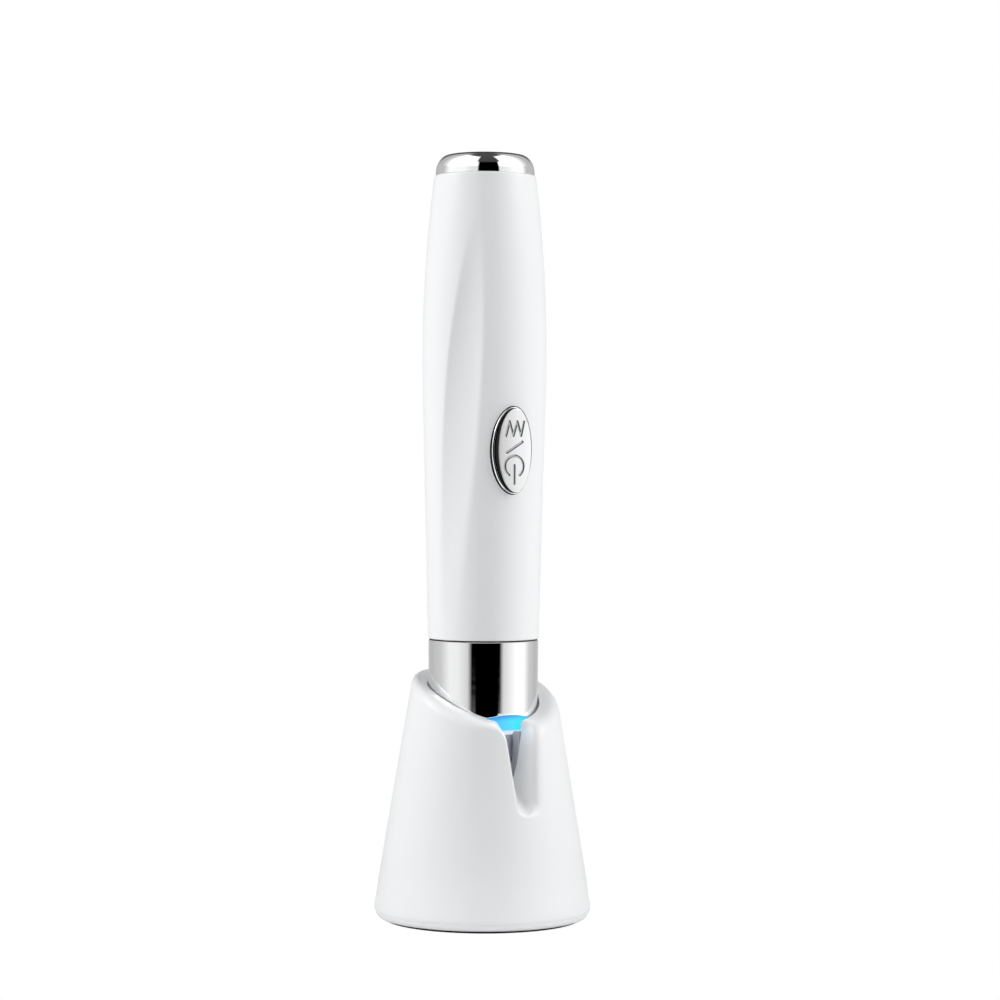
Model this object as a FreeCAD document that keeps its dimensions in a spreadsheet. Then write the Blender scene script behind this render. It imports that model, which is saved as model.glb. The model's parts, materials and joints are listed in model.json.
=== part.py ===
"""Heated eye massager wand standing head down in its charging and storage dock.

Millimetres. The origin is the middle of the dock's foot, +Z is up along the wand's axis, and the
front, with the mode button and the dock's notch, faces -Y. A height is measured up from the foot,
and a depth is measured from the axis towards the front.
"""
import FreeCAD, Part
import math
import os
import re

import Sketcher

V = FreeCAD.Vector

SIZES = [
    # Dock: foot, base plate and ballast
    ("foot_drop", 0.5, "how far the rubber foot stands below the base plate"),
    ("foot_thickness", 0.9, "rubber foot ring"),
    ("foot_set_in", 2.0, "foot ring inside the base plate's edge"),
    ("foot_width", 6.8, "width of the foot ring's band"),
    ("plate_edge", 1.4, "height and rounding of the base plate's edge"),
    ("plate_set_in", 0.3, "base plate's edge inside the widest radius"),
    ("lip_height", 1.5, "locating lip and screw pads on the base plate"),
    ("lip_wall", 1.2, "thickness of the locating lip"),
    ("ballast_room", 0.6, "room between the ballast disc and the screw bosses"),
    ("ballast_thickness", 3.0, "steel ballast disc"),
    # Dock: shell
    ("dock_radius", 22.7, "widest radius, at the top of the skirt"),
    ("skirt_height", 1.0, "rounded skirt between the seam and the cone"),
    ("skirt_round", 2.4, "radius of the skirt's rounding"),
    ("skirt_inset", 0.2, "how far the skirt turns in at the seam"),
    ("dock_wall", 1.8, "skin of the cone"),
    ("rim_height", 47.2, "slanted rim plane on the axis"),
    ("rim_wall", 3.32, "wall between socket and cone at that height"),
    ("rim_slant", 22.8, "slope of the rim plane in degrees, low at the front"),
    ("rim_round", 1.2, "outer rounding of the rim"),
    ("mouth_round", 0.35, "inner rounding of the rim"),
    ("sleeve_foot", 16.0, "lower end of the sleeve that holds the cup"),
    ("sleeve_wall", 1.8, "wall of that sleeve"),
    ("cavity_top", 34.0, "ceiling of the hollow round the sleeve"),
    ("notch_block_half", 7.5, "half width of the solid block round the notch"),
    ("notch_block_foot", 19.0, "foot of that block"),
    ("boss_radius", 2.3, "screw bosses"),
    ("boss_room", 0.95, "room between the bosses and the base plate's lip"),
    ("boss_top", 20.0, "upper end of the base plate bosses"),
    ("ear_land", 0.35, "sleeve between the cup's screw holes and its outside"),
    ("ear_boss_top", 24.0, "upper end of the bosses for the cup's screws"),
    # Dock: notch in the front of the rim
    ("notch_foot", 30.0, "lowest point of the notch where it leaves the socket"),
    ("notch_fall", 42.5, "slope of the notch's floor in degrees, falling outwards"),
    ("notch_half", 2.1, "half width of the notch and rounding of its floor"),
    ("notch_flare", 2.2, "radius with which the notch opens into the rim"),
    # Dock: socket cup and contact pins
    ("socket_gap", 0.55, "radial room between the collar and the dock"),
    ("cup_gap", 0.05, "radial fit of the cup in the sleeve"),
    ("cup_floor", 1.8, "thickness of the cup's floor"),
    ("flange_thickness", 1.6, "cup's flange under the sleeve"),
    ("cup_hollow", 10.2, "radius of the hollow under the cup's floor"),
    ("head_gap", 0.35, "radial room between the head and the cup"),
    ("tip_gap", 0.5, "room under the head's tip"),
    ("floor_round", 0.6, "rounding of the pocket's floor"),
    ("ledge_height", 39.9, "ledge that carries the wand's shoulder"),
    ("ledge_chamfer", 0.5, "lead in to the pocket"),
    ("pin_circle", 10.3, "distance of the contacts from the axis"),
    ("barrel_radius", 0.7, "contact pin barrel"),
    ("barrel_length", 8.5, "contact pin barrel"),
    ("barrel_set_down", 0.4, "barrel's mouth below the ledge"),
    ("pin_radius", 0.42, "contact pin plunger"),
    ("pin_shoulder", 0.5, "plunger's guide inside the barrel"),
    ("pin_travel", 0.8, "travel of the plunger"),
    ("lead_radius", 0.5, "insulated lead from barrel to dock board"),
    ("channel_half", 0.65, "half width of the lead's channel in the cup"),
    # Dock: board, port
    ("board_lift", 1.4, "room between ballast and dock board"),
    ("dock_board_thickness", 1.2, "dock board"),
    ("dock_board_room", 2.3, "room between the dock board and the screw bosses"),
    ("tongue_half", 5.5, "half width of the dock board's tongue"),
    ("tongue_short", 2.2, "tongue's end in front of the socket's mouth"),
    ("post_radius", 1.8, "posts that carry the dock board"),
    ("post_inset", 2.6, "middle of the posts inside the dock board's edge"),
    ("port_half_width", 4.47, "charging socket shell"),
    ("port_half_height", 1.63, "charging socket shell"),
    ("port_wall", 0.3, "charging socket shell"),
    ("port_length", 7.4, "charging socket shell"),
    ("port_set_in", 0.7, "socket's mouth inside the cone's foot"),
    ("port_window_gap", 0.17, "room round the socket in the dock's wall"),
    ("port_recess", 1.2, "how much larger the recess for the plug is, all round"),
    ("port_tongue_half", 3.2, "half width of the socket's contact tongue"),
    ("controller_half", 2.5, "half width of the square controllers on both boards"),
    ("chip_half", 1.5, "half width of the smaller chips"),
    ("chip_height", 0.9, "chips"),
    ("coil_height", 1.7, "coils and the wire connector"),
    ("capacitor_half", 0.8, "half width of the capacitors"),
    # Screws
    ("screw_radius", 0.95, "small self tapping screws"),
    ("screw_head", 1.8, "radius of their heads"),
    ("screw_head_height", 1.1, "height of their heads"),
    ("screw_length", 5.0, "length below the head"),
    ("screw_recess", 0.6, "driver recess, radius and depth"),
    ("fit_gap", 0.05, "clearance between close fitting pieces"),
    ("press_gap", 0.02, "clearance between pressed or bonded pieces"),
    # Wand: head and light ring
    ("seat_gap", 0.1, "clearance between the wand's shoulder and the ledge"),
    ("head_radius", 8.9, "massage head"),
    ("head_length", 21.5, "massage head below the shoulder"),
    ("head_wall", 0.9, "massage head"),
    ("head_face", 5.0, "massage face from the centre of the rounded end"),
    ("head_slant", 45.0, "slant of the massage face in degrees"),
    ("head_soften", 1.6, "rounding of the massage face's edge"),
    ("spigot_radius", 8.4, "neck of the head inside the light ring"),
    ("ring_height", 3.6, "light ring"),
    ("ring_radius", 11.0, "light ring"),
    ("seal_thickness", 0.5, "head seal, across and high"),
    ("heater_width", 8.0, "heater plate across"),
    ("heater_height", 6.6, "heater plate along the slant"),
    ("heater_thickness", 0.8, "heater plate"),
    ("sensor_length", 1.8, "temperature sensor"),
    ("sensor_width", 0.9, "temperature sensor"),
    ("pad_radius", 0.6, "contact pads in the light ring"),
    ("led_board_inner", 6.2, "lamp board"),
    ("led_board_thickness", 0.8, "lamp board"),
    ("led_length", 1.6, "lamps"),
    ("led_width", 0.8, "lamps"),
    ("led_height", 0.6, "lamps"),
    ("led_circle", 9.6, "distance of the lamps from the axis"),
    # Wand: collar, carrier and motor
    ("collar_height", 14.8, "chrome collar"),
    ("collar_foot_radius", 11.4, "chrome collar at the light ring"),
    ("collar_top_radius", 11.5, "chrome collar at the handle"),
    ("collar_wall", 0.8, "chrome collar"),
    ("gasket_height", 0.3, "dark gasket between collar and handle"),
    ("carrier_spigot", 2.6, "carrier's spigot inside the handle"),
    ("motor_radius", 5.0, "vibration motor"),
    ("motor_length", 11.0, "vibration motor"),
    ("motor_height", 5.4, "motor's lower end above the lamp board"),
    ("cushion_wall", 0.6, "rubber cushion round the motor"),
    ("shaft_radius", 0.5, "motor shaft"),
    ("shaft_bore", 2.6, "length of the shaft inside the motor"),
    ("shaft_gap", 0.05, "running clearance of the shaft"),
    ("weight_radius", 4.2, "eccentric weight"),
    ("weight_hub", 1.3, "eccentric weight's hub"),
    ("weight_height", 3.2, "eccentric weight"),
    ("weight_drop", 0.6, "gap between weight and motor"),
    ("chamber_radius", 4.8, "chamber of the weight in the carrier"),
    # Wand: handle
    ("handle_length", 97.1, "handle between gasket and tail cap"),
    ("handle_wall", 1.8, "handle"),
    ("foot_radius", 11.6, "handle at the gasket"),
    ("belly_radius", 13.0, "widest radius of the handle"),
    ("belly_drop", 37.8, "height of the belly below the handle's top"),
    ("belly_tail", 10.0, "how far the belly's arc runs on below its widest point"),
    ("tail_radius", 10.6, "handle at the tail cap"),
    ("flute_drop", 10.5, "flute's upper end below the handle's top"),
    ("flute_length", 88.0, "length of the flute"),
    ("flute_depth", 0.78, "greatest depth of the flute"),
    ("flute_hollow", 0.12, "hollow of the flute's floor across its chord"),
    ("flute_half", 6.0, "half chord of the flute's cutter"),
    ("flute_angle", 32.0, "upper end, degrees left of the front"),
    ("flute_twist", 32.0, "twist of the flute in degrees"),
    ("flute_fade", 1.6, "how softly the flute fades at its ends"),
    # Wand: button
    ("button_height", 39.3, "middle of the button above the handle's foot"),
    ("bezel_long", 9.3, "half length of the bezel"),
    ("bezel_wide", 4.8, "half width of the bezel"),
    ("bezel_band", 0.75, "width of the bezel's band"),
    ("bezel_proud", 0.35, "bezel above the handle's surface"),
    ("bezel_gap", 0.2, "shadow gap round the bezel"),
    ("rebate_floor", 11.25, "depth of the flat floor under the bezel"),
    ("button_gasket_thickness", 0.3, "gasket under the bezel"),
    ("button_gap", 0.12, "gap between button and bezel"),
    ("button_proud", 0.7, "button's flat face in front of the bezel's"),
    ("button_round", 0.25, "rounding of the button's edge"),
    ("button_flange", 0.8, "thickness of the button's flange"),
    ("button_flange_reach", 0.5, "flange beyond the button's stem"),
    ("button_travel", 0.5, "travel of the button"),
    ("switch_half", 3.0, "half width of the switch"),
    ("switch_height", 3.2, "switch"),
    ("plunger_radius", 1.7, "switch plunger"),
    ("plunger_rise", 0.7, "plunger above the switch"),
    ("plunger_length", 1.6, "switch plunger"),
    # Wand: chassis, board and battery
    ("chassis_gap", 0.2, "room between chassis and handle"),
    ("chassis_ring", 3.0, "height of the chassis's foot ring"),
    ("battery_radius", 5.1, "battery"),
    ("battery_length", 44.0, "battery"),
    ("battery_nub", 0.8, "battery's raised end"),
    ("battery_edge", 0.4, "chamfer of the battery's ends"),
    ("battery_back", 2.6, "battery's axis behind the wand's axis"),
    ("battery_height", 38.5, "battery above the handle's foot"),
    ("battery_gap", 0.1, "battery in its tray"),
    ("tray_wall", 1.2, "battery tray"),
    ("tab_thickness", 0.3, "battery tabs"),
    ("tab_half", 2.0, "half width of the battery tabs"),
    ("stop_thickness", 1.5, "walls at the battery's ends"),
    ("rail_inner", 5.0, "board rails"),
    ("rail_outer", 7.6, "board rails"),
    ("board_back", 4.0, "depth of the main board's back"),
    ("board_thickness", 1.0, "main board"),
    ("board_half", 7.4, "half width of the main board"),
    ("board_foot", 0.2, "main board above the chassis's foot ring"),
    ("board_length", 50.0, "main board"),
    ("board_screw_inset", 3.0, "main board's screws from its ends"),
    ("board_screw_x", 6.1, "main board's screws from the middle"),
    ("board_screw_head", 1.3, "main board's screws"),
    ("board_screw_head_height", 0.7, "main board's screws"),
    ("board_screw_radius", 0.6, "main board's screws"),
    ("board_screw_length", 3.6, "main board's screws"),
    # Wand: tail
    ("plug_depth", 6.0, "tail plug inside the handle"),
    ("plug_wall", 1.5, "tail plug"),
    ("plug_rise", 2.4, "tail plug inside the cap"),
    ("plug_neck", 8.2, "radius of the plug inside the cap"),
    ("tail_seal_thickness", 0.8, "tail seal, across and high"),
    ("tail_boss", 2.6, "boss for the tail screw"),
    ("tail_screw_length", 7.0, "tail screw"),
    ("cap_height", 4.2, "tail cap"),
    ("cap_edge", 2.8, "rounding of the tail cap's edge"),
    ("cap_dome", 0.5, "rise of the tail cap's top"),
    ("cap_inset", 0.1, "cap's radius under the handle's"),
]

document = FreeCAD.newDocument("eye_massager_wand")
sheet = document.addObject("Spreadsheet::Sheet", "dim")
for row, (alias, number, meaning) in enumerate(SIZES, start=1):
    sheet.set(f"A{row}", meaning)
    sheet.set(f"B{row}", str(number))
    sheet.setAlias(f"B{row}", alias)
document.recompute()
ALIASES = {alias for alias, number, meaning in SIZES}

# Heights, built up from the sheet's sizes
SEAM = "(foot_drop + plate_edge)"
LIP_TOP = f"({SEAM} + lip_height)"
DOCK_BOARD_FOOT = f"({SEAM} + ballast_thickness + board_lift)"
DOCK_BOARD_TOP = f"({DOCK_BOARD_FOOT} + dock_board_thickness)"
PORT_HEIGHT = f"({DOCK_BOARD_TOP} + port_half_height)"
SKIRT_TOP = f"({SEAM} + skirt_height)"
FLANGE_FOOT = "(sleeve_foot - flange_thickness)"
SHOULDER = "(ledge_height + seat_gap)"
RING_TOP = f"({SHOULDER} + ring_height)"
LED_BOARD_TOP = f"({RING_TOP} + led_board_thickness)"
MOTOR_FOOT = f"({LED_BOARD_TOP} + motor_height)"
MOTOR_TOP = f"({MOTOR_FOOT} + motor_length)"
COLLAR_TOP = f"({RING_TOP} + collar_height)"
HANDLE_FOOT = f"({COLLAR_TOP} + gasket_height)"
SPIGOT_TOP = f"({HANDLE_FOOT} + carrier_spigot)"
HANDLE_TOP = f"({HANDLE_FOOT} + handle_length)"
BELLY = f"({HANDLE_TOP} - belly_drop)"
PLUG_FOOT = f"({HANDLE_TOP} - plug_depth)"
HEAD_TIP = f"({SHOULDER} - head_length)"
HEAD_CENTRE = f"({HEAD_TIP} + head_radius)"
POCKET_FLOOR = f"({HEAD_TIP} - tip_gap)"
BUTTON = f"({HANDLE_FOOT} + button_height)"
BATTERY_FOOT = f"({HANDLE_FOOT} + battery_height)"
BATTERY_TOP = f"({BATTERY_FOOT} + battery_length + battery_nub)"
CHASSIS_RING_TOP = f"({SPIGOT_TOP} + chassis_ring)"
BOARD_FOOT = f"({CHASSIS_RING_TOP} + board_foot)"
BOARD_TOP = f"({BOARD_FOOT} + board_length)"

# Radii and depths of the dock
SOCKET = "(collar_top_radius + socket_gap)"
SLEEVE = f"({SOCKET} + sleeve_wall)"
CUP = f"({SOCKET} - cup_gap)"
POCKET = "(head_radius + head_gap)"
CONE_FALL = f"((dock_radius - {SOCKET} - rim_wall) / (rim_height - {SKIRT_TOP}))"
PLATE = "(dock_radius - plate_set_in)"
FOOT_OUTER = f"({PLATE} - foot_set_in)"
FOOT_INNER = f"({FOOT_OUTER} - foot_width)"
LIP_OUTER = "(dock_radius - dock_wall - fit_gap)"
LIP_INNER = f"({LIP_OUTER} - lip_wall)"
BOSS_CIRCLE = f"({LIP_INNER} - boss_room - boss_radius)"
BALLAST = f"({BOSS_CIRCLE} - boss_radius - ballast_room)"
DOCK_BOARD = f"({BOSS_CIRCLE} - boss_radius - dock_board_room)"
POST_CIRCLE = f"({DOCK_BOARD} - post_inset)"
SCREW_HOLE = "(screw_radius + fit_gap)"
EAR_CIRCLE = f"({SLEEVE} + ear_land + {SCREW_HOLE})"
PORT_MOUTH = f"(dock_radius - {PORT_HEIGHT} * {CONE_FALL} - port_set_in)"
TONGUE_REACH = f"({PORT_MOUTH} - tongue_short)"

# Radii and depths of the wand
COLLAR_BORE = "(collar_foot_radius - collar_wall)"
CARRIER = f"({COLLAR_BORE} - fit_gap)"
HANDLE_BORE = "(foot_radius - handle_wall)"
TAIL_BORE = "(tail_radius - handle_wall)"
TRAY = "(battery_radius + battery_gap)"
BOARD_FRONT = "(board_back + board_thickness)"
SWITCH_FACE = f"({BOARD_FRONT} + switch_height)"
PLUNGER_FACE = f"({SWITCH_FACE} + plunger_rise)"
FLANGE_FACE = f"({PLUNGER_FACE} + button_flange)"
BELLY_ARC = "((belly_drop ^ 2 + (belly_radius - tail_radius) ^ 2) / (2 * (belly_radius - tail_radius)))"
BELLY_END = f"({BELLY} - belly_tail)"
BELLY_END_RADIUS = f"(belly_radius - {BELLY_ARC} + sqrt({BELLY_ARC} ^ 2 - belly_tail ^ 2))"
# The handle's own radius at the button, on the straight line between its foot and its belly
GRIP_RADIUS = (f"(foot_radius + ({BELLY_END_RADIUS} - foot_radius) * button_height"
               f" / (handle_length - belly_drop - belly_tail))")
BEZEL_FACE = f"({GRIP_RADIUS} + bezel_proud)"
BUTTON_FACE = f"({BEZEL_FACE} + button_proud)"

# Further than any piece reaches, for tools that cut right through
REACH = "100"
FLUTE_STATIONS = 9
FLAT_SHARE = 0.08


def over_sheet(text):
    """Write an expression with the sheet's name before each alias."""
    return re.sub(r"[a-z_]+", lambda word: "dim." + word[0] if word[0] in ALIASES else word[0], text)


def size(text):
    """Work out an expression over the sheet's sizes."""
    return float(sheet.evalExpression(over_sheet(text)))


def bind(item, name, text):
    """Tie a property to the sheet."""
    item.setExpression(name, over_sheet(text))


def place(item, x="0", y="0", z="0"):
    """Tie an object's place to the sheet."""
    for letter, text in (("x", x), ("y", y), ("z", z)):
        bind(item, f".Placement.Base.{letter}", text)
    return item


def turn(item, axis, degrees):
    """Turn an object about an axis through its own origin."""
    item.Placement = FreeCAD.Placement(item.Placement.Base, FreeCAD.Rotation(V(*axis), degrees))
    return item


def cylinder(label, radius, foot, top, x="0", y="0"):
    """Upright round bar."""
    item = document.addObject("Part::Cylinder", label)
    bind(item, "Radius", radius)
    bind(item, "Height", f"{top} - {foot}")
    return place(item, x, y, foot)


def front_cylinder(label, radius, near, far, x, z):
    """Round bar along Y, between two depths."""
    item = document.addObject("Part::Cylinder", label)
    bind(item, "Radius", radius)
    bind(item, "Height", f"{far} - {near}")
    turn(item, (1, 0, 0), 90)
    return place(item, x, f"-({near})", z)


def box(label, x_range, y_range, z_range):
    """Block between two values on each axis."""
    item = document.addObject("Part::Box", label)
    for side, (low, high) in zip(("Length", "Width", "Height"), (x_range, y_range, z_range)):
        bind(item, side, f"{high} - ({low})")
    return place(item, x_range[0], y_range[0], z_range[0])


def fuse(label, *pieces):
    """Join pieces into one solid."""
    item = document.addObject("Part::MultiFuse", label)
    item.Shapes = list(pieces)
    item.Refine = True
    return item


def common(label, *pieces):
    """Keep what the pieces share."""
    item = document.addObject("Part::MultiCommon", label)
    item.Shapes = list(pieces)
    return item


def cut(label, base, *tools):
    """Take the tools away from the base."""
    item = document.addObject("Part::Cut", label)
    item.Base = base
    item.Tool = tools[0] if len(tools) == 1 else fuse(f"{label}_tools", *tools)
    return item


def group(label, pieces):
    """Several separate solids of one kind."""
    item = document.addObject("Part::Compound", label)
    item.Links = list(pieces)
    return item


def draw(sketch, outline):
    """Draw a closed outline with every corner tied to the sheet.

    A corner is (x, y), or (x, y, radius) where the edge to the next corner is round. A positive
    radius has its centre to the left of that edge, and a negative one to the right.
    """
    corners = [V(size(corner[0]), size(corner[1]), 0) for corner in outline]
    edges = []
    for index, corner in enumerate(outline):
        start = corners[index]
        end = corners[(index + 1) % len(corners)]
        if len(corner) == 2:
            edges.append((sketch.addGeometry(Part.LineSegment(start, end)), 1, 2))
            continue
        radius = size(corner[2])
        chord = end - start
        left = V(-chord.y, chord.x, 0).normalize()
        rise = math.sqrt(max(radius ** 2 - chord.Length ** 2 / 4, 0))
        centre = (start + end) / 2 + left * math.copysign(rise, radius)
        first, last = (start, end) if radius > 0 else (end, start)
        angles = [math.atan2(point.y - centre.y, point.x - centre.x) for point in (first, last)]
        circle = Part.Circle(centre, V(0, 0, 1), abs(radius))
        arc = sketch.addGeometry(Part.ArcOfCircle(circle, *angles))
        edges.append((arc, 1, 2) if radius > 0 else (arc, 2, 1))
    for index, (edge, start, end) in enumerate(edges):
        follower = edges[(index + 1) % len(edges)]
        sketch.addConstraint(Sketcher.Constraint("Coincident", edge, end, follower[0], follower[1]))
        for kind, text in (("DistanceX", outline[index][0]), ("DistanceY", outline[index][1])):
            rule = sketch.addConstraint(Sketcher.Constraint(kind, -1, 1, edge, start, size(text)))
            bind(sketch, f"Constraints[{rule}]", text)
        if len(outline[index]) == 3:
            text = outline[index][2].lstrip("-")
            rule = sketch.addConstraint(Sketcher.Constraint("Radius", edge, size(text)))
            bind(sketch, f"Constraints[{rule}]", text)


def origin_plane(body, role):
    """One of a body's own origin planes."""
    return next(plane for plane in body.Origin.OriginFeatures if plane.Role == role)


def turned(label, outline, x="0", y="0"):
    """Body of revolution about an upright axis, from (radius, height) corners."""
    body = document.addObject("PartDesign::Body", label)
    sketch = body.newObject("Sketcher::SketchObject", f"{label}_profile")
    sketch.AttachmentSupport = (origin_plane(body, "XZ_Plane"), [""])
    sketch.MapMode = "FlatFace"
    draw(sketch, outline)
    revolution = body.newObject("PartDesign::Revolution", f"{label}_turned")
    revolution.Profile = sketch
    revolution.ReferenceAxis = (sketch, ["V_Axis"])
    revolution.Angle = 360
    return place(body, x, y)


def ring_of(inner, outer, foot, top):
    """Plain rectangular ring section."""
    return [(inner, foot), (outer, foot), (outer, top), (inner, top)]


def upright_sketch(label, depth, outline):
    """Free sketch in a plane across the front, at a depth from the axis."""
    sketch = document.addObject("Sketcher::SketchObject", label)
    draw(sketch, outline)
    turn(sketch, (1, 0, 0), 90)
    return place(sketch, "0", f"-({depth})", "0")


def loft(label, sections):
    """Solid through closed sections."""
    item = document.addObject("Part::Loft", label)
    item.Sections = sections
    item.Solid = True
    item.Ruled = len(sections) == 2
    return item


def oval(label, half_length, half_width, near, far):
    """Upright oval prism at the button, between two depths."""
    edge = document.addObject("Part::Ellipse", f"{label}_edge")
    bind(edge, "MajorRadius", half_length)
    bind(edge, "MinorRadius", half_width)
    turn(edge, (1, 1, 1), 240)
    place(edge, "0", f"-({near})", BUTTON)
    item = document.addObject("Part::Extrusion", label)
    item.Base = edge
    item.DirMode = "Custom"
    item.Dir = V(0, -1, 0)
    item.Solid = True
    bind(item, "LengthFwd", f"{far} - ({near})")
    return item


def stadium(label, half_width, half_height, near, far, z):
    """Flat rounded bar along Y, between two distances behind the axis."""
    middle = f"({half_width} - {half_height})"
    web = box(f"{label}_web", (f"-{middle}", middle), (near, far),
              (f"{z} - {half_height}", f"{z} + {half_height}"))
    ends = [front_cylinder(f"{label}_end_{side}", half_height, f"-({far})", f"-({near})",
                           f"{sign}{middle}", z) for side, sign in (("left", "-"), ("right", ""))]
    return fuse(label, web, *ends)


def rounded(label, base, edges, radii):
    """Round some edges of a solid. The edges are numbers in its shape."""
    item = document.addObject("Part::Fillet", label)
    item.Base = base
    item.Edges = [(edge, radius, radius) for edge, radius in zip(edges, radii)]
    return item


def screw(label, head_seat, points_up, x, y, length="screw_length"):
    """Upright screw whose head bears on a seat, with a round driver recess."""
    sign = 1 if points_up else -1
    head_end = f"({head_seat} - {sign} * screw_head_height)"
    recess_end = f"({head_end} + {sign} * screw_recess)"
    tip = f"({head_seat} + {sign} * {length})"
    levels = ((head_end, head_seat), (head_seat, tip), (head_end, recess_end))
    ranges = [pair if points_up else pair[::-1] for pair in levels]
    head = cylinder(f"{label}_head", "screw_head", *ranges[0], x, y)
    shank = cylinder(f"{label}_shank", "screw_radius", *ranges[1], x, y)
    recess = cylinder(f"{label}_recess", "screw_recess", *ranges[2], x, y)
    return cut(label, fuse(f"{label}_blank", head, shank), recess)


def around(radius, count, first):
    """Places on a circle, as pairs of expressions. The first angle is in degrees from +X."""
    angles = [first + 360 / count * index for index in range(count)]
    return [(f"{radius} * cos({angle})", f"{radius} * sin({angle})") for angle in angles]


BASE_SCREWS = around(BOSS_CIRCLE, 4, 45)
CUP_SCREWS = around(EAR_CIRCLE, 2, 0)
CONTACTS = around("pin_circle", 2, 0)
# Turning angles of the six lamps, clear of the contacts at both sides
LAMP_ANGLES = range(30, 390, 60)
POSTS = around(POST_CIRCLE, 4, 45)


def notch_cutter(label):
    """Tool that opens the front of the rim: a channel whose floor falls outwards."""
    near = f"({POCKET} / 2)"
    far = "(dock_radius + dock_wall)"
    sections = []
    for name, depth in (("inner", near), ("outer", far)):
        centre = f"(notch_foot + notch_half - ({depth} - {SOCKET}) * tan(notch_fall))"
        rim = f"(rim_height - {depth} * tan(rim_slant))"
        flared = "(notch_half + notch_flare)"
        sections.append(upright_sketch(f"{label}_{name}", depth, [
            ("-notch_half", centre, "notch_half"),
            ("0", f"{centre} - notch_half", "notch_half"),
            ("notch_half", centre),
            ("notch_half", f"{rim} - notch_flare", "-notch_flare"),
            (flared, rim),
            (flared, f"{rim} + rim_height"),
            (f"-{flared}", f"{rim} + rim_height"),
            (f"-{flared}", rim, "-notch_flare"),
            ("-notch_half", f"{rim} - notch_flare"),
        ]))
    return loft(label, sections)


def skin_inside(height):
    """Radius of the shell's inner surface at a height on the cone."""
    return f"(dock_radius - dock_wall - ({height} - {SKIRT_TOP}) * {CONE_FALL})"


def rim_edge(shape, radius):
    """Number of the slanted oval edge whose width is nearest to a radius, doubled."""
    rims = [(abs(edge.BoundBox.XLength - 2 * radius), number)
            for number, edge in enumerate(shape.Edges, start=1)
            if edge.Curve.TypeId == "Part::GeomEllipse" and edge.BoundBox.ZLength > size("dock_wall")]
    return min(rims)[1]


def dock_shell():
    """White cone with a slanted rim, a flared notch, a sleeve for the cup and screw bosses."""
    top = "(rim_height + dock_radius)"
    cone = turned("cone", [
        ("0", SEAM),
        ("dock_radius - skirt_inset", SEAM, "skirt_round"),
        ("dock_radius", SKIRT_TOP),
        (f"dock_radius - ({top} - {SKIRT_TOP}) * {CONE_FALL}", top),
        ("0", top),
    ])
    above = box("above_rim", ("0", REACH), ("0", REACH), ("0", REACH))
    turn(above, (1, 0, 0), size("rim_slant"))
    place(above, f"-{REACH} / 2", f"-{REACH} / 2 * cos(rim_slant)",
          f"rim_height - {REACH} / 2 * sin(rim_slant)")
    bore = cylinder("socket_bore", SOCKET, "0", REACH)
    slanted = cut("slanted_cone", cone, above, bore)
    cavity = turned("shell_cavity", [
        ("0", SEAM),
        ("dock_radius - dock_wall", SEAM),
        ("dock_radius - dock_wall", LIP_TOP),
        (skin_inside("cavity_top"), "cavity_top"),
        (SLEEVE, "cavity_top"),
        (SLEEVE, "sleeve_foot"),
        ("0", "sleeve_foot"),
    ])
    block = box("notch_block", ("-notch_block_half", "notch_block_half"), (f"-{REACH}", "0"),
                ("notch_block_foot", REACH))
    hollow = cut("hollow_cone", slanted, cut("open_cavity", cavity, block))

    bosses = [cylinder(f"base_boss_{index}", "boss_radius", LIP_TOP, "boss_top", x, y)
              for index, (x, y) in enumerate(BASE_SCREWS)]
    bosses += [cylinder(f"ear_boss_{index}", "boss_radius", "sleeve_foot", "ear_boss_top", x, y)
               for index, (x, y) in enumerate(CUP_SCREWS)]
    holes = [cylinder(f"base_hole_{index}", SCREW_HOLE, "0", f"{LIP_TOP} + screw_length", x, y)
             for index, (x, y) in enumerate(BASE_SCREWS)]
    holes += [cylinder(f"ear_hole_{index}", SCREW_HOLE, "0", "sleeve_foot + screw_length", x, y)
              for index, (x, y) in enumerate(CUP_SCREWS)]
    window = stadium("port_window", "(port_half_width + port_window_gap)",
                     "(port_half_height + port_window_gap)",
                     f"({PORT_MOUTH} - port_length / 2)", "(dock_radius + dock_wall)", PORT_HEIGHT)
    recess = stadium("port_recess_tool", "(port_half_width + port_recess)",
                     "(port_half_height + port_recess)", PORT_MOUTH, "(dock_radius + dock_wall)",
                     PORT_HEIGHT)
    drilled = cut("drilled_cone", fuse("bossed_cone", hollow, *bosses), *holes)
    opened = cut("opened_cone", cut("windowed_cone", drilled, window), recess)

    notched = cut("notched_cone", opened, notch_cutter("shell_notch"))

    # Each rounding runs on from the rim round the flared notch, because their edges are tangent
    document.recompute()
    outside = rim_edge(notched.Shape, size("dock_radius"))
    shouldered = rounded("shouldered_cone", notched, [outside], [size("rim_round")])
    document.recompute()
    mouth = rim_edge(shouldered.Shape, size(SOCKET))
    return rounded("dock_shell", shouldered, [mouth], [size("mouth_round")])


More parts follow.
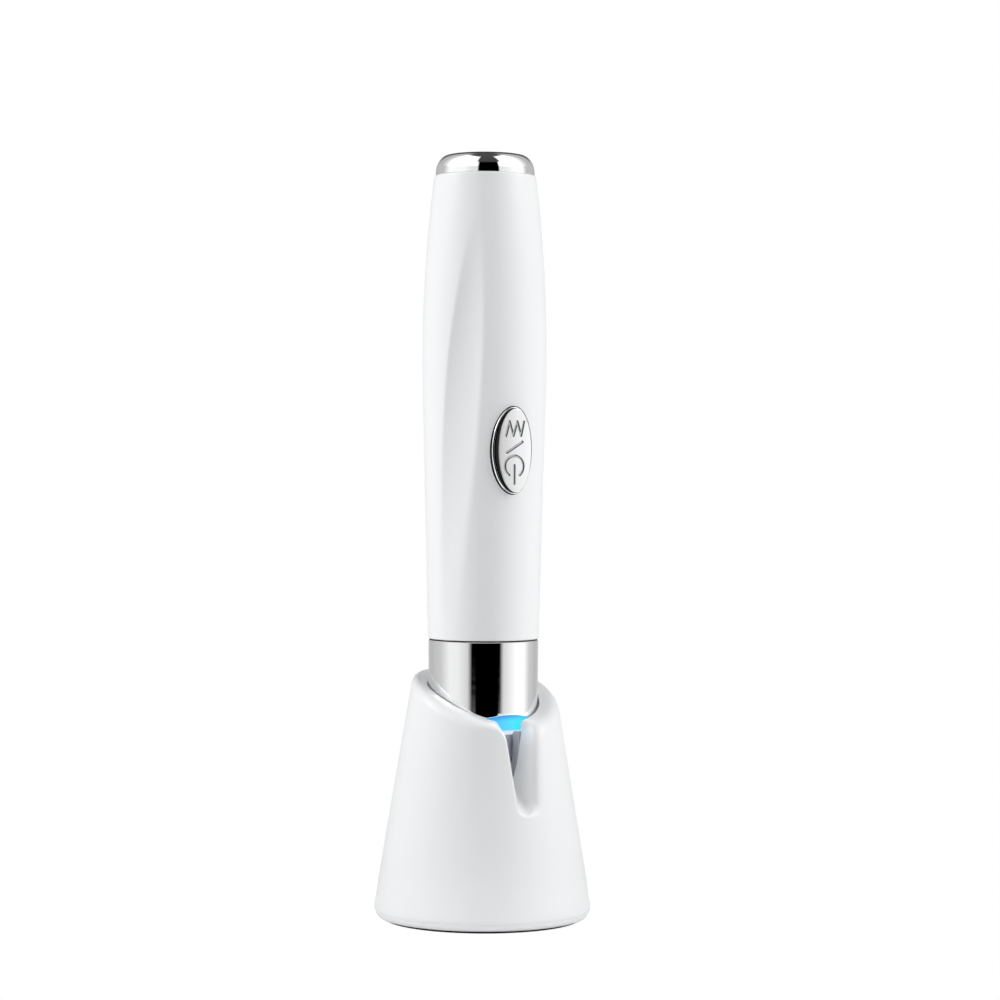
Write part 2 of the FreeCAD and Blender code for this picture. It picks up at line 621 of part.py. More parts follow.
def socket_cup():
    """Cup inside the sleeve: a pocket for the head, a ledge for the shoulder, two pin holes."""
    foot = f"({POCKET_FLOOR} - cup_floor)"
    form = turned("cup_form", [
        ("0", foot),
        ("cup_hollow", foot),
        ("cup_hollow", FLANGE_FOOT),
        (SLEEVE, FLANGE_FOOT),
        (SLEEVE, "sleeve_foot"),
        (CUP, "sleeve_foot"),
        (CUP, "ledge_height"),
        (f"{POCKET} + ledge_chamfer", "ledge_height"),
        (POCKET, "ledge_height - ledge_chamfer"),
        (POCKET, f"{POCKET_FLOOR} + floor_round", "-floor_round"),
        (f"{POCKET} - floor_round", POCKET_FLOOR),
        ("0", POCKET_FLOOR),
    ])
    ears = []
    for index, (x, y) in enumerate(CUP_SCREWS):
        ears.append(cylinder(f"cup_ear_{index}", "boss_radius", FLANGE_FOOT, "sleeve_foot", x, y))
        side = (f"-{EAR_CIRCLE}", f"-{SOCKET}") if index else (SOCKET, EAR_CIRCLE)
        ears.append(box(f"cup_ear_web_{index}", side, ("-boss_radius", "boss_radius"),
                        (FLANGE_FOOT, "sleeve_foot")))
    tools = [notch_cutter("cup_notch")]
    barrel_foot = "(ledge_height - barrel_set_down - barrel_length)"
    for index, (x, y) in enumerate(CONTACTS):
        tools.append(cylinder(f"cup_pin_hole_{index}", "(barrel_radius + fit_gap)",
                              f"({barrel_foot} - fit_gap)", "ledge_height + 1", x, y))
        inner = "(pin_circle - channel_half)"
        outer = "(pin_circle + channel_half)"
        side = (f"-{outer}", f"-{inner}") if index else (inner, outer)
        tools.append(box(f"cup_channel_{index}", side, ("-channel_half", "channel_half"),
                         ("0", f"{barrel_foot}")))
    tools += [cylinder(f"cup_screw_hole_{index}", SCREW_HOLE, "0", REACH, x, y)
              for index, (x, y) in enumerate(CUP_SCREWS)]
    return cut("socket_cup", fuse("cup_blank", form, *ears), *tools)


def cup_screws():
    """Two screws that hold the cup's ears to the shell."""
    return group("cup_screws", [screw(f"cup_screw_{index}", FLANGE_FOOT, True, x, y)
                                for index, (x, y) in enumerate(CUP_SCREWS)])


def contact_pins():
    """Barrels, sprung plungers and leads of the two charging contacts."""
    mouth = "(ledge_height - barrel_set_down)"
    foot = f"({mouth} - barrel_length)"
    bore = "(pin_shoulder + fit_gap)"
    neck = "(pin_radius + fit_gap)"
    guide_top = f"({mouth} - pin_travel)"
    bottom = f"({foot} + barrel_length / 4)"
    rest = f"({bottom} + pin_travel + 2 * fit_gap)"
    barrels = []
    plungers = []
    leads = []
    for side, (x, y) in zip(("right", "left"), CONTACTS):
        barrels.append(turned(f"barrel_{side}", [
            ("0", foot),
            ("barrel_radius", foot),
            ("barrel_radius", mouth),
            (neck, mouth),
            (neck, guide_top),
            (bore, guide_top),
            (bore, bottom),
            ("0", bottom),
        ], x, y))
        plungers.append(turned(f"charge_pin_{side}", [
            ("0", rest),
            ("pin_shoulder", rest),
            ("pin_shoulder", f"{guide_top} - 2 * fit_gap"),
            ("pin_radius", f"{guide_top} - 2 * fit_gap"),
            ("pin_radius", f"{SHOULDER} - fit_gap - pin_radius", "pin_radius"),
            ("0", f"{SHOULDER} - fit_gap"),
        ], x, y))
        leads.append(cylinder(f"lead_{side}", "lead_radius", DOCK_BOARD_TOP, foot, x, y))
    return [group("pin_barrels", barrels), group("pin_leads", leads), *plungers]


def dock_board():
    """Round charging board with a tongue that reaches back to the socket."""
    disc = cylinder("dock_board_disc", DOCK_BOARD, DOCK_BOARD_FOOT, DOCK_BOARD_TOP)
    tongue = box("dock_board_tongue", ("-tongue_half", "tongue_half"), ("0", TONGUE_REACH),
                 (DOCK_BOARD_FOOT, DOCK_BOARD_TOP))
    holes = [cylinder(f"dock_board_hole_{index}", SCREW_HOLE, "0", REACH, x, y)
             for index, (x, y) in enumerate(POSTS)]
    return cut("dock_board", fuse("dock_board_blank", disc, tongue), *holes)


def dock_chip(label, x, y, half_x, half_y, height):
    """Small block on the dock board, about a place."""
    return box(label, (f"{x} - {half_x}", f"{x} + {half_x}"), (f"{y} - {half_y}", f"{y} + {half_y}"),
               (DOCK_BOARD_TOP, f"{DOCK_BOARD_TOP} + {height}"))


def dock_chips():
    """Charge controller, choke and two capacitors on the dock board."""
    return group("dock_chips", [
        dock_chip("charge_controller", "0", f"-{POST_CIRCLE} / 5", "controller_half",
                  "controller_half", "chip_height"),
        dock_chip("choke", f"{POST_CIRCLE} / 2", "0", "chip_half", "chip_half", "coil_height"),
        dock_chip("input_capacitor", f"-{POST_CIRCLE} / 2", f"{POST_CIRCLE} / 5", "capacitor_half",
                  "chip_half", "chip_height"),
        dock_chip("output_capacitor", f"{POST_CIRCLE} / 5", f"{POST_CIRCLE} / 2", "chip_half",
                  "capacitor_half", "chip_height"),
    ])


def dock_port():
    """Charging socket: an open rounded shell with its contact tongue."""
    near = f"({PORT_MOUTH} - port_length)"
    outer = stadium("port_outer", "port_half_width", "port_half_height", near, PORT_MOUTH,
                    PORT_HEIGHT)
    inner = stadium("port_inner", "(port_half_width - port_wall)",
                    "(port_half_height - port_wall)", f"({near} + port_wall)",
                    f"({PORT_MOUTH} + port_wall)", PORT_HEIGHT)
    shell = cut("port_shell", outer, inner)
    tongue = box("port_tongue", ("-port_tongue_half", "port_tongue_half"),
                 (near, f"{PORT_MOUTH} - port_wall"),
                 (f"{PORT_HEIGHT} - port_wall", f"{PORT_HEIGHT} + port_wall"))
    return fuse("charge_socket", shell, tongue)


def ballast_disc():
    """Steel disc on the base plate that keeps the dock standing."""
    disc = cylinder("ballast_blank", BALLAST, SEAM, f"({SEAM} + ballast_thickness)")
    holes = [cylinder(f"ballast_hole_{index}", "(post_radius + 4 * fit_gap)", "0", REACH, x, y)
             for index, (x, y) in enumerate(POSTS)]
    return cut("ballast_disc", disc, *holes)


def base_plate():
    """Bottom cover: curved edge, groove for the foot ring, locating lip, pads and posts."""
    form = turned("plate_form", [
        ("0", "foot_drop"),
        (f"{FOOT_INNER} - fit_gap", "foot_drop"),
        (f"{FOOT_INNER} - fit_gap", "foot_thickness"),
        (f"{FOOT_OUTER} + fit_gap", "foot_thickness"),
        (f"{FOOT_OUTER} + fit_gap", "foot_drop"),
        (f"{PLATE} - plate_edge", "foot_drop", "plate_edge"),
        (PLATE, SEAM),
        (LIP_OUTER, SEAM),
        (LIP_OUTER, LIP_TOP),
        (LIP_INNER, LIP_TOP),
        (LIP_INNER, SEAM),
        ("0", SEAM),
    ])
    pads = [cylinder(f"plate_pad_{index}", "(boss_radius - 2 * fit_gap)", "foot_thickness", LIP_TOP,
                     x, y) for index, (x, y) in enumerate(BASE_SCREWS)]
    posts = [cylinder(f"plate_post_{index}", "post_radius", "foot_thickness", DOCK_BOARD_FOOT, x, y)
             for index, (x, y) in enumerate(POSTS)]
    head_seat = "(foot_thickness + screw_head_height)"
    tools = []
    for index, (x, y) in enumerate(BASE_SCREWS):
        tools.append(cylinder(f"plate_hole_{index}", SCREW_HOLE, "0", REACH, x, y))
        tools.append(cylinder(f"plate_sink_{index}", "(screw_head + fit_gap)", "0", head_seat, x, y))
    tools += [cylinder(f"post_hole_{index}", SCREW_HOLE, f"({DOCK_BOARD_TOP} - screw_length)", REACH,
                       x, y)
              for index, (x, y) in enumerate(POSTS)]
    return cut("base_plate", fuse("plate_blank", form, *pads, *posts), *tools)


def base_screws():
    """Four screws under the foot ring that hold the base plate."""
    return group("base_screws", [screw(f"base_screw_{index}", "(foot_thickness + screw_head_height)",
                                       True, x, y) for index, (x, y) in enumerate(BASE_SCREWS)])


def dock_board_screws():
    """Four short screws that hold the dock board on its posts."""
    length = "(screw_length - fit_gap)"
    return group("dock_board_screws", [screw(f"dock_board_screw_{index}", DOCK_BOARD_TOP, False,
                                             x, y, length) for index, (x, y) in enumerate(POSTS)])


def foot_ring():
    """Rubber ring that the dock stands on."""
    return turned("foot_ring", ring_of(FOOT_INNER, FOOT_OUTER, "0", "foot_thickness"))


def faced_bar(label, bar, face):
    """Bar cut off square to the massage direction, at a distance from its round end's centre."""
    below = box(f"{label}_below", ("0", REACH), ("0", REACH), ("0", REACH))
    turn(below, (1, 0, 0), 180 - size("head_slant"))
    place(below, f"-{REACH} / 2",
          f"{REACH} / 2 * cos(head_slant) - {face} * sin(head_slant)",
          f"{HEAD_CENTRE} - {REACH} / 2 * sin(head_slant) - {face} * cos(head_slant)")
    return cut(f"{label}_faced", bar, below)


def massage_head():
    """Hollow metal head: round end, slanted massage face with a soft edge, grooved neck."""
    bar = turned("head_bar", [
        ("0", HEAD_TIP, "head_radius"),
        ("head_radius", HEAD_CENTRE),
        ("head_radius", SHOULDER),
        ("0", SHOULDER),
    ])
    faced = faced_bar("head_outside", bar, "head_face")
    document.recompute()
    flat = max((face for face in faced.Shape.Faces if face.Surface.TypeId == "Part::GeomPlane"
                and abs(face.normalAt(0, 0).z) < 0.99), key=lambda face: face.Area)
    edges = [number for number, edge in enumerate(faced.Shape.Edges, start=1)
             if any(edge.isSame(rim) for rim in flat.Edges)]
    outside = rounded("head_outside", faced, edges, [size("head_soften")] * len(edges))
    neck = cylinder("head_neck", "spigot_radius", SHOULDER, RING_TOP)

    room = "(head_radius - head_wall)"
    core = turned("head_core", [
        ("0", f"{HEAD_CENTRE} - {room} * cos(head_slant)"),
        (f"{room} * sin(head_slant)", f"{HEAD_CENTRE} - {room} * cos(head_slant)"),
        (room, HEAD_CENTRE),
        (room, f"{SHOULDER} - head_wall"),
        ("0", f"{SHOULDER} - head_wall"),
    ])
    inside = faced_bar("head_inside", core, "(head_face - head_wall)")
    bore = cylinder("head_bore", "(spigot_radius - head_wall - seal_thickness)",
                    f"({SHOULDER} - 2 * head_wall)", f"({RING_TOP} + head_wall)")
    middle = f"({SHOULDER} + ring_height / 2)"
    half = "(seal_thickness / 2 + fit_gap)"
    groove = turned("seal_groove", ring_of("(spigot_radius - seal_thickness)",
                                           "(spigot_radius + seal_thickness)",
                                           f"({middle} - {half})", f"({middle} + {half})"))
    return cut("massage_head", fuse("head_blank", outside, neck), inside, bore, groove)


def head_seal():
    """Square seal ring in the neck's groove, inside the light ring."""
    middle = f"({SHOULDER} + ring_height / 2)"
    return turned("head_seal", ring_of("(spigot_radius - seal_thickness + fit_gap)", "spigot_radius",
                                       f"({middle} - seal_thickness / 2)",
                                       f"({middle} + seal_thickness / 2)"))


def tilted_plate(label, half_x, half_y, near, far):
    """Block square to the massage face, between two distances from the rounded end's centre."""
    item = box(label, ("0", f"2 * {half_x}"), ("0", f"2 * {half_y}"), ("0", f"{far} - {near}"))
    turn(item, (1, 0, 0), -size("head_slant"))
    return place(item, f"-{half_x}",
                 f"-{half_y} * cos(head_slant) - {far} * sin(head_slant)",
                 f"{HEAD_CENTRE} + {half_y} * sin(head_slant) - {far} * cos(head_slant)")


def heater_plate():
    """Ceramic heater bonded behind the massage face."""
    face = "(head_face - head_wall - press_gap)"
    return tilted_plate("heater_plate", "heater_width / 2", "heater_height / 2",
                        f"({face} - heater_thickness)", face)


def temperature_sensor():
    """Sensor on the back of the heater."""
    face = "(head_face - head_wall - 2 * press_gap - heater_thickness)"
    return tilted_plate("temperature_sensor", "sensor_length / 2", "sensor_width / 2",
                        f"({face} - sensor_width)", face)


def radial_block(label, angle, near, far, half, foot, top):
    """Block that lies along a radius at an angle from +X."""
    item = box(label, ("0", f"{far} - {near}"), ("0", f"2 * {half}"), (foot, top))
    turn(item, (0, 0, 1), angle)
    return place(item, f"{near} * cos({angle}) + {half} * sin({angle})",
                 f"{near} * sin({angle}) - {half} * cos({angle})", foot)


def light_ring():
    """Clear ring that the lamps shine into, with room for the lamps and the contact pads."""
    form = turned("light_ring_form", ring_of("(spigot_radius + fit_gap)", "ring_radius", SHOULDER,
                                             RING_TOP))
    tools = [radial_block(f"lamp_pocket_{angle}", angle, "(led_circle - led_width / 2 - fit_gap)",
                          "(led_circle + led_width / 2 + fit_gap)", "(led_length / 2 + fit_gap)",
                          f"({RING_TOP} - led_height - fit_gap)", f"({RING_TOP} + led_height)")
             for angle in LAMP_ANGLES]
    tools += [cylinder(f"pad_hole_{index}", "(pad_radius + press_gap)", "0", REACH, x, y)
              for index, (x, y) in enumerate(CONTACTS)]
    return cut("light_ring", form, *tools)


def lamps():
    """Six blue lamps under the lamp board."""
    return group("lamps", [radial_block(f"lamp_{angle}", angle, "(led_circle - led_width / 2)",
                                        "(led_circle + led_width / 2)", "(led_length / 2)",
                                        f"({RING_TOP} - led_height)", RING_TOP)
                           for angle in LAMP_ANGLES])


def lamp_board():
    """Ring board on top of the light ring."""
    return turned("lamp_board", ring_of("led_board_inner", f"({COLLAR_BORE} - 2 * fit_gap)", RING_TOP,
                                        LED_BOARD_TOP))


def charge_pads():
    """Two contact pads that pass through the light ring up to the lamp board."""
    return group("charge_pads", [cylinder(f"charge_pad_{index}", "pad_radius", SHOULDER, RING_TOP,
                                          x, y) for index, (x, y) in enumerate(CONTACTS)])


def collar_ring():
    """Chrome tube between the light ring and the handle."""
    return turned("collar_ring", [
        (COLLAR_BORE, RING_TOP),
        ("collar_foot_radius", RING_TOP),
        ("collar_top_radius", COLLAR_TOP),
        (COLLAR_BORE, COLLAR_TOP),
    ])


def collar_gasket():
    """Dark gasket line between collar and handle."""
    return turned("collar_gasket", ring_of(f"({HANDLE_BORE} - fit_gap)",
                                           "(collar_top_radius - fit_gap)", COLLAR_TOP, HANDLE_FOOT))


def motor_carrier():
    """Moulded carrier in the collar: the motor's seat over the chamber of its weight."""
    seat = "(motor_radius + cushion_wall + fit_gap)"
    spigot = f"({HANDLE_BORE} - 2 * fit_gap)"
    return turned("motor_carrier", [
        ("chamber_radius", LED_BOARD_TOP),
        (CARRIER, LED_BOARD_TOP),
        (CARRIER, COLLAR_TOP),
        (spigot, COLLAR_TOP),
        (spigot, SPIGOT_TOP),
        (seat, SPIGOT_TOP),
        (seat, MOTOR_FOOT),
        ("chamber_radius", MOTOR_FOOT),
    ])


def motor_can():
    """Vibration motor with a bearing hole for its shaft."""
    bearing = "(shaft_radius + shaft_gap)"
    return turned("motor_can", [
        (bearing, MOTOR_FOOT),
        ("motor_radius", MOTOR_FOOT),
        ("motor_radius", MOTOR_TOP),
        ("0", MOTOR_TOP),
        ("0", f"{MOTOR_FOOT} + shaft_bore + fit_gap"),
        (bearing, f"{MOTOR_FOOT} + shaft_bore + fit_gap"),
    ])


def motor_cushion():
    """Rubber sleeve that holds the motor in the carrier."""
    return turned("motor_cushion", ring_of("(motor_radius + press_gap)",
                                           "(motor_radius + cushion_wall)", MOTOR_FOOT, SPIGOT_TOP))


def rotor():
    """Shaft and half-round eccentric weight."""
    top = f"({MOTOR_FOOT} - weight_drop)"
    foot = f"({top} - weight_height)"
    shaft = cylinder("motor_shaft", "shaft_radius", f"({foot} - shaft_radius)",
                     f"({MOTOR_FOOT} + shaft_bore)")
    half = common("weight_half", cylinder("weight_disc", "weight_radius", foot, top),
                  box("weight_side", (f"-{REACH} / 2", f"{REACH} / 2"), (f"-{REACH} / 2", "0"),
                      (foot, top)))
    hub = cylinder("weight_hub_bar", "weight_hub", foot, top)
    bore = cylinder("weight_bore", "(shaft_radius + press_gap)", "0", REACH)
    return [shaft, cut("eccentric_weight", fuse("weight_blank", half, hub), bore)]


def handle_tube():
    """Barrel of the handle: a slow taper, a round belly and a bore for the tail plug."""
    inside = f"({BELLY_ARC} - handle_wall)"
    inside_tail = f"(belly_radius - {BELLY_ARC} + sqrt({inside} ^ 2 - (belly_drop - plug_depth) ^ 2))"
    return turned("handle_tube", [
        (HANDLE_BORE, HANDLE_FOOT),
        ("foot_radius", HANDLE_FOOT),
        (BELLY_END_RADIUS, BELLY_END, BELLY_ARC),
        ("tail_radius", HANDLE_TOP),
        (TAIL_BORE, HANDLE_TOP),
        (TAIL_BORE, PLUG_FOOT),
        (inside_tail, PLUG_FOOT),
        ("belly_radius - handle_wall", BELLY),
        (f"{BELLY_END_RADIUS} - handle_wall", BELLY_END),
    ])


def outer_radius(height):
    """Handle's own radius at a height, as a number."""
    if height > size(BELLY_END):
        arc = size(BELLY_ARC)
        return size("belly_radius") - arc + math.sqrt(arc ** 2 - (height - size(BELLY)) ** 2)
    share = (height - size(HANDLE_FOOT)) / (size(BELLY_END) - size(HANDLE_FOOT))
    return size("foot_radius") + (size(BELLY_END_RADIUS) - size("foot_radius")) * share


def flute_cutter():
    """Twisted tool for the shallow grip flute, which fades out at both ends."""
    sections = []
    half = size("flute_half")
    for index in range(FLUTE_STATIONS):
        share = index / (FLUTE_STATIONS - 1)
        height = size(HANDLE_TOP) - size("flute_drop") - size("flute_length") * share
        fade = math.sin(math.pi * share) ** size("flute_fade")
        floor = outer_radius(height) - size("flute_depth") * fade
        # The floor is hollow in the middle of the flute and all but flat at its ends
        hollow = size("flute_hollow") * max(fade, FLAT_SHARE)
        arc = (half ** 2 + hollow ** 2) / (2 * hollow)
        section = document.addObject("Sketcher::SketchObject", f"flute_section_{index}")
        draw(section, [
            (f"-{half}", f"-{floor}", f"-{arc}"),
            (f"{half}", f"-{floor}"),
            (f"{half}", f"-{floor} - flute_half"),
            (f"-{half}", f"-{floor} - flute_half"),
        ])
        angle = -size("flute_angle") - size("flute_twist") * share
        turn(section, (0, 0, 1), angle)
        section.Placement.Base = V(0, 0, height)
        sections.append(section)
    return loft("flute_cutter", sections)


def handle_shell():
    """Glossy barrel with a twisted grip flute and the button's window and rebate."""
    above = "(belly_radius + handle_wall)"
    rebate = oval("bezel_rebate", "(bezel_long + bezel_gap)", "(bezel_wide + bezel_gap)",
                  "rebate_floor", above)
    window = oval("button_window", "(bezel_long - bezel_band)", "(bezel_wide - bezel_band)", "0",
                  above)
    return cut("handle_shell", handle_tube(), flute_cutter(), rebate, window)


def oval_ring(label, inset, near, far):
    """Oval ring of the bezel's band, drawn in from its outside."""
    outer = oval(f"{label}_outer", f"(bezel_long - {inset})", f"(bezel_wide - {inset})", near, far)
    inner = oval(f"{label}_inner", "(bezel_long - bezel_band)", "(bezel_wide - bezel_band)", "0",
                 f"({far} + bezel_proud)")
    return cut(label, outer, inner)


def button_gasket():
    """Dark gasket under the bezel."""
    return oval_ring("button_gasket", "-bezel_gap / 2", "rebate_floor",
                     "(rebate_floor + button_gasket_thickness)")


def button_bezel():
    """Chrome oval bezel whose face follows the round of the handle."""
    band = oval_ring("bezel_band_ring", "0", "(rebate_floor + button_gasket_thickness)", BEZEL_FACE)
    face = cylinder("bezel_face", BEZEL_FACE, HANDLE_FOOT, HANDLE_TOP)
    return common("button_bezel", band, face)


def mode_button():
    """Oval button with a flat face, a soft edge and a flange that keeps it behind the bezel."""
    stem = "bezel_long - bezel_band - button_gap"
    stem_wide = "bezel_wide - bezel_band - button_gap"
    body = oval("button_body", f"({stem})", f"({stem_wide})", PLUNGER_FACE, BUTTON_FACE)
    document.recompute()
    front = min((edge.BoundBox.YMax, number) for number, edge in enumerate(body.Shape.Edges, start=1))
    softened = rounded("button_stem", body, [front[1]], [size("button_round")])
    flange = oval("button_flange_plate", f"({stem} + button_flange_reach)",
                  f"({stem_wide} + button_flange_reach)", PLUNGER_FACE, FLANGE_FACE)
    return fuse("mode_button", softened, flange)


def mode_switch():
    """Body of the push switch with a hole for its plunger."""
    body = box("switch_blank", ("-switch_half", "switch_half"),
               (f"-{SWITCH_FACE}", f"-{BOARD_FRONT}"),
               (f"{BUTTON} - switch_half", f"{BUTTON} + switch_half"))
    floor = f"({PLUNGER_FACE} - plunger_length - button_travel - 2 * fit_gap)"
    hole = front_cylinder("switch_hole", "plunger_radius + fit_gap", floor, PLUNGER_FACE, "0",
                          BUTTON)
    return cut("mode_switch", body, hole)


def switch_plunger():
    """Plunger that the button rests on."""
    return front_cylinder("switch_plunger", "plunger_radius", f"({PLUNGER_FACE} - plunger_length)",
                          PLUNGER_FACE, "0", BUTTON)


def board_screw_places():
    """Two screws at opposite corners of the main board."""
    return [("-board_screw_x", f"{BOARD_FOOT} + board_screw_inset"),
            ("board_screw_x", f"{BOARD_TOP} - board_screw_inset")]


def main_board():
    """Main board in front of the battery, screwed to the chassis rails."""
    plate = box("main_board_blank", ("-board_half", "board_half"), (f"-{BOARD_FRONT}", "-board_back"),
                (BOARD_FOOT, BOARD_TOP))
    holes = [front_cylinder(f"main_board_hole_{index}", "board_screw_radius + fit_gap", "0",
                            SWITCH_FACE, x, z)
             for index, (x, z) in enumerate(board_screw_places())]
    return cut("main_board", plate, *holes)


def main_board_screws():
    """Two small screws through the main board into the rails."""
    screws = []
    for index, (x, z) in enumerate(board_screw_places()):
        head = front_cylinder(f"board_screw_head_{index}", "board_screw_head", BOARD_FRONT,
                              f"({BOARD_FRONT} + board_screw_head_height)", x, z)
        shank = front_cylinder(f"board_screw_shank_{index}", "board_screw_radius",
                               f"({BOARD_FRONT} - board_screw_length)", BOARD_FRONT, x, z)
        screws.append(fuse(f"board_screw_{index}", head, shank))
    return group("main_board_screws", screws)


def front_chip(label, x, rise, half_x, half_z, height):
    """Small block on the main board's front, at a rise above the board's foot."""
    return box(label, (f"{x} - {half_x}", f"{x} + {half_x}"),
               (f"-{BOARD_FRONT} - {height}", f"-{BOARD_FRONT}"),
               (f"{BOARD_FOOT} + {rise} - {half_z}", f"{BOARD_FOOT} + {rise} + {half_z}"))


def board_chips():
    """Controller, driver, coil and capacitors on the main board's front."""
    side = "board_half * 0.45"
    return group("board_chips", [
        front_chip("controller", "0", "board_length * 0.38", "controller_half", "controller_half",
                   "chip_height"),
        front_chip("heater_driver", f"-{side}", "board_length / 5", "chip_half", "chip_half",
                   "chip_height"),
        front_chip("charge_chip", side, "board_length / 5", "chip_half", "chip_half", "chip_height"),
        front_chip("boost_coil", side, "board_length * 0.88", "chip_half", "chip_half",
                   "coil_height"),
        front_chip("bulk_capacitor", f"-{side}", "board_length * 0.88", "chip_half", "capacitor_half",
                   "coil_height"),
        front_chip("head_connector", "0", "1.5 * chip_half", "2 * chip_half", "chip_half",
                   "coil_height"),
    ])


def tray_bar(label, radius, foot, top):
    """Round bar about the battery's axis."""
    return cylinder(label, radius, foot, top, "0", "battery_back")


def inner_chassis():
    """Moulded frame: foot ring, battery tray with stops, board rails and the tail boss."""
    outer = f"({TRAY} + tray_wall)"
    stop_top = f"({BATTERY_TOP} + 2 * tab_thickness + stop_thickness)"
    foot_disc = cylinder("chassis_foot", f"({HANDLE_BORE} - chassis_gap)", SPIGOT_TOP,
                         CHASSIS_RING_TOP)
    wall = cut("tray_tube", tray_bar("tray_outer", outer, SPIGOT_TOP, stop_top),
               tray_bar("tray_inner", TRAY, SPIGOT_TOP, f"({stop_top} - stop_thickness)"))
    stop = tray_bar("lower_stop", outer, f"({BATTERY_FOOT} - tab_thickness - stop_thickness)",
                    f"({BATTERY_FOOT} - tab_thickness)")
    front = box("tray_front", (f"-{REACH} / 2", f"{REACH} / 2"), (f"-{REACH} / 2", "-fit_gap"),
                (HANDLE_FOOT, HANDLE_TOP))
    tray = cut("open_tray", fuse("tray_blank", wall, stop), front)
    rails = [box(f"rail_{side}", (low, high), ("-board_back", f"{TRAY} / 4"),
                 (SPIGOT_TOP, f"{BOARD_TOP}"))
             for side, low, high in (("right", "rail_inner", "rail_outer"),
                                     ("left", "-rail_outer", "-rail_inner"))]
    boss = cylinder("tail_boss_bar", "tail_boss", f"({stop_top} - stop_thickness)", PLUG_FOOT)
    top_disc = cylinder("chassis_top", f"({TAIL_BORE} - chassis_gap)",
                        f"({PLUG_FOOT} - stop_thickness)", PLUG_FOOT)
    ribs = box("tail_rib", (f"-{TAIL_BORE} / 2", f"{TAIL_BORE} / 2"),
               ("0", "tray_wall"), (f"({stop_top} - stop_thickness / 2)", PLUG_FOOT))
    motor_room = cylinder("motor_room", "(motor_radius + cushion_wall + fit_gap)", "0", MOTOR_TOP)
    room_above = cylinder("wire_room", "(motor_radius + fit_gap)", MOTOR_TOP, CHASSIS_RING_TOP)
    holes = [front_cylinder(f"rail_hole_{index}", "board_screw_radius + fit_gap",
                            f"({BOARD_FRONT} - board_screw_length - fit_gap)", SWITCH_FACE, x, z)
             for index, (x, z) in enumerate(board_screw_places())]
    screw_hole = cylinder("tail_screw_hole", SCREW_HOLE,
                          f"({HANDLE_TOP} + fit_gap - tail_screw_length)", HANDLE_TOP)
    blank = fuse("chassis_blank", foot_disc, tray, *rails, boss, top_disc, ribs)
    return cut("inner_chassis", blank, motor_room, room_above, screw_hole, *holes)


def battery():
    """Round lithium cell with chamfered ends and a raised contact."""
    top = f"({BATTERY_FOOT} + battery_length)"
    nub = "battery_radius / 3"
    return turned("battery", [
        ("0", BATTERY_FOOT),
        ("battery_radius - battery_edge", BATTERY_FOOT),
        ("battery_radius", f"{BATTERY_FOOT} + battery_edge"),
        ("battery_radius", f"{top} - battery_edge"),
        ("battery_radius - battery_edge", top),
        (nub, top),
        (nub, BATTERY_TOP),
        ("0", BATTERY_TOP),
    ], "0", "battery_back")


def battery_tabs():
    """Nickel tabs at both ends of the battery."""
    tabs = [box(f"battery_tab_{name}", ("-tab_half", "tab_half"),
                ("0", "battery_back + tab_half"), (foot, f"{foot} + tab_thickness"))
            for name, foot in (("lower", f"({BATTERY_FOOT} - tab_thickness)"),
                               ("upper", BATTERY_TOP))]
    return group("battery_tabs", tabs)


def battery_pad():
    """Foam pad between battery and main board."""
    near = "(battery_radius - battery_back + battery_gap)"
    return box("battery_pad", ("-tab_half", "tab_half"), ("-board_back + fit_gap", f"-{near}"),
               (f"{BATTERY_FOOT} + battery_nub", f"{BOARD_TOP} - board_screw_inset"))


def tail_plug():
    """Plug in the handle's end: seal groove, hollow underside, neck inside the cap."""
    outer = f"({TAIL_BORE} - 2 * fit_gap)"
    middle = f"({HANDLE_TOP} - plug_depth / 2)"
    groove = f"({outer} - tail_seal_thickness)"
    half = "(tail_seal_thickness / 2 + fit_gap)"
    return turned("tail_plug", [
        (SCREW_HOLE, PLUG_FOOT),
        (outer, PLUG_FOOT),
        (outer, f"{middle} - {half}"),
        (groove, f"{middle} - {half}"),
        (groove, f"{middle} + {half}"),
        (outer, f"{middle} + {half}"),
        (outer, HANDLE_TOP),
        ("plug_neck", HANDLE_TOP),
        ("plug_neck", f"{HANDLE_TOP} + plug_rise"),
        ("plug_neck - plug_wall", f"{HANDLE_TOP} + plug_rise"),
        ("plug_neck - plug_wall", HANDLE_TOP),
        (SCREW_HOLE, HANDLE_TOP),
    ])


def tail_seal():
    """Square seal ring in the tail plug's groove."""
    outer = f"({TAIL_BORE} - fit_gap)"
    middle = f"({HANDLE_TOP} - plug_depth / 2)"
    return turned("tail_seal", ring_of(f"({outer} - tail_seal_thickness)", outer,
                                       f"({middle} - tail_seal_thickness / 2)",
                                       f"({middle} + tail_seal_thickness / 2)"))


def tail_screw():
    """Screw that draws the tail plug down on the chassis."""
    return screw("tail_screw", HANDLE_TOP, False, "0", "0", "(tail_screw_length - 2 * fit_gap)")


def tail_cap():
    """Chrome cap with a round edge and a slight dome, snapped over the plug's neck."""
    outer = "(tail_radius - cap_inset)"
    top = f"({HANDLE_TOP} + cap_height)"
    shoulder = f"({top} - cap_dome)"
    flat = f"({outer} - cap_edge)"
    dome = f"(({flat} ^ 2 + cap_dome ^ 2) / (2 * cap_dome))"
    return turned("tail_cap", [
        ("(plug_neck + fit_gap)", HANDLE_TOP),
        (outer, HANDLE_TOP),
        (outer, f"{shoulder} - cap_edge", "cap_edge"),
        (flat, shoulder, dome),
        ("0", top),
        ("0", f"{HANDLE_TOP} + plug_rise + fit_gap"),
        ("(plug_neck + fit_gap)", f"{HANDLE_TOP} + plug_rise + fit_gap"),
    ])


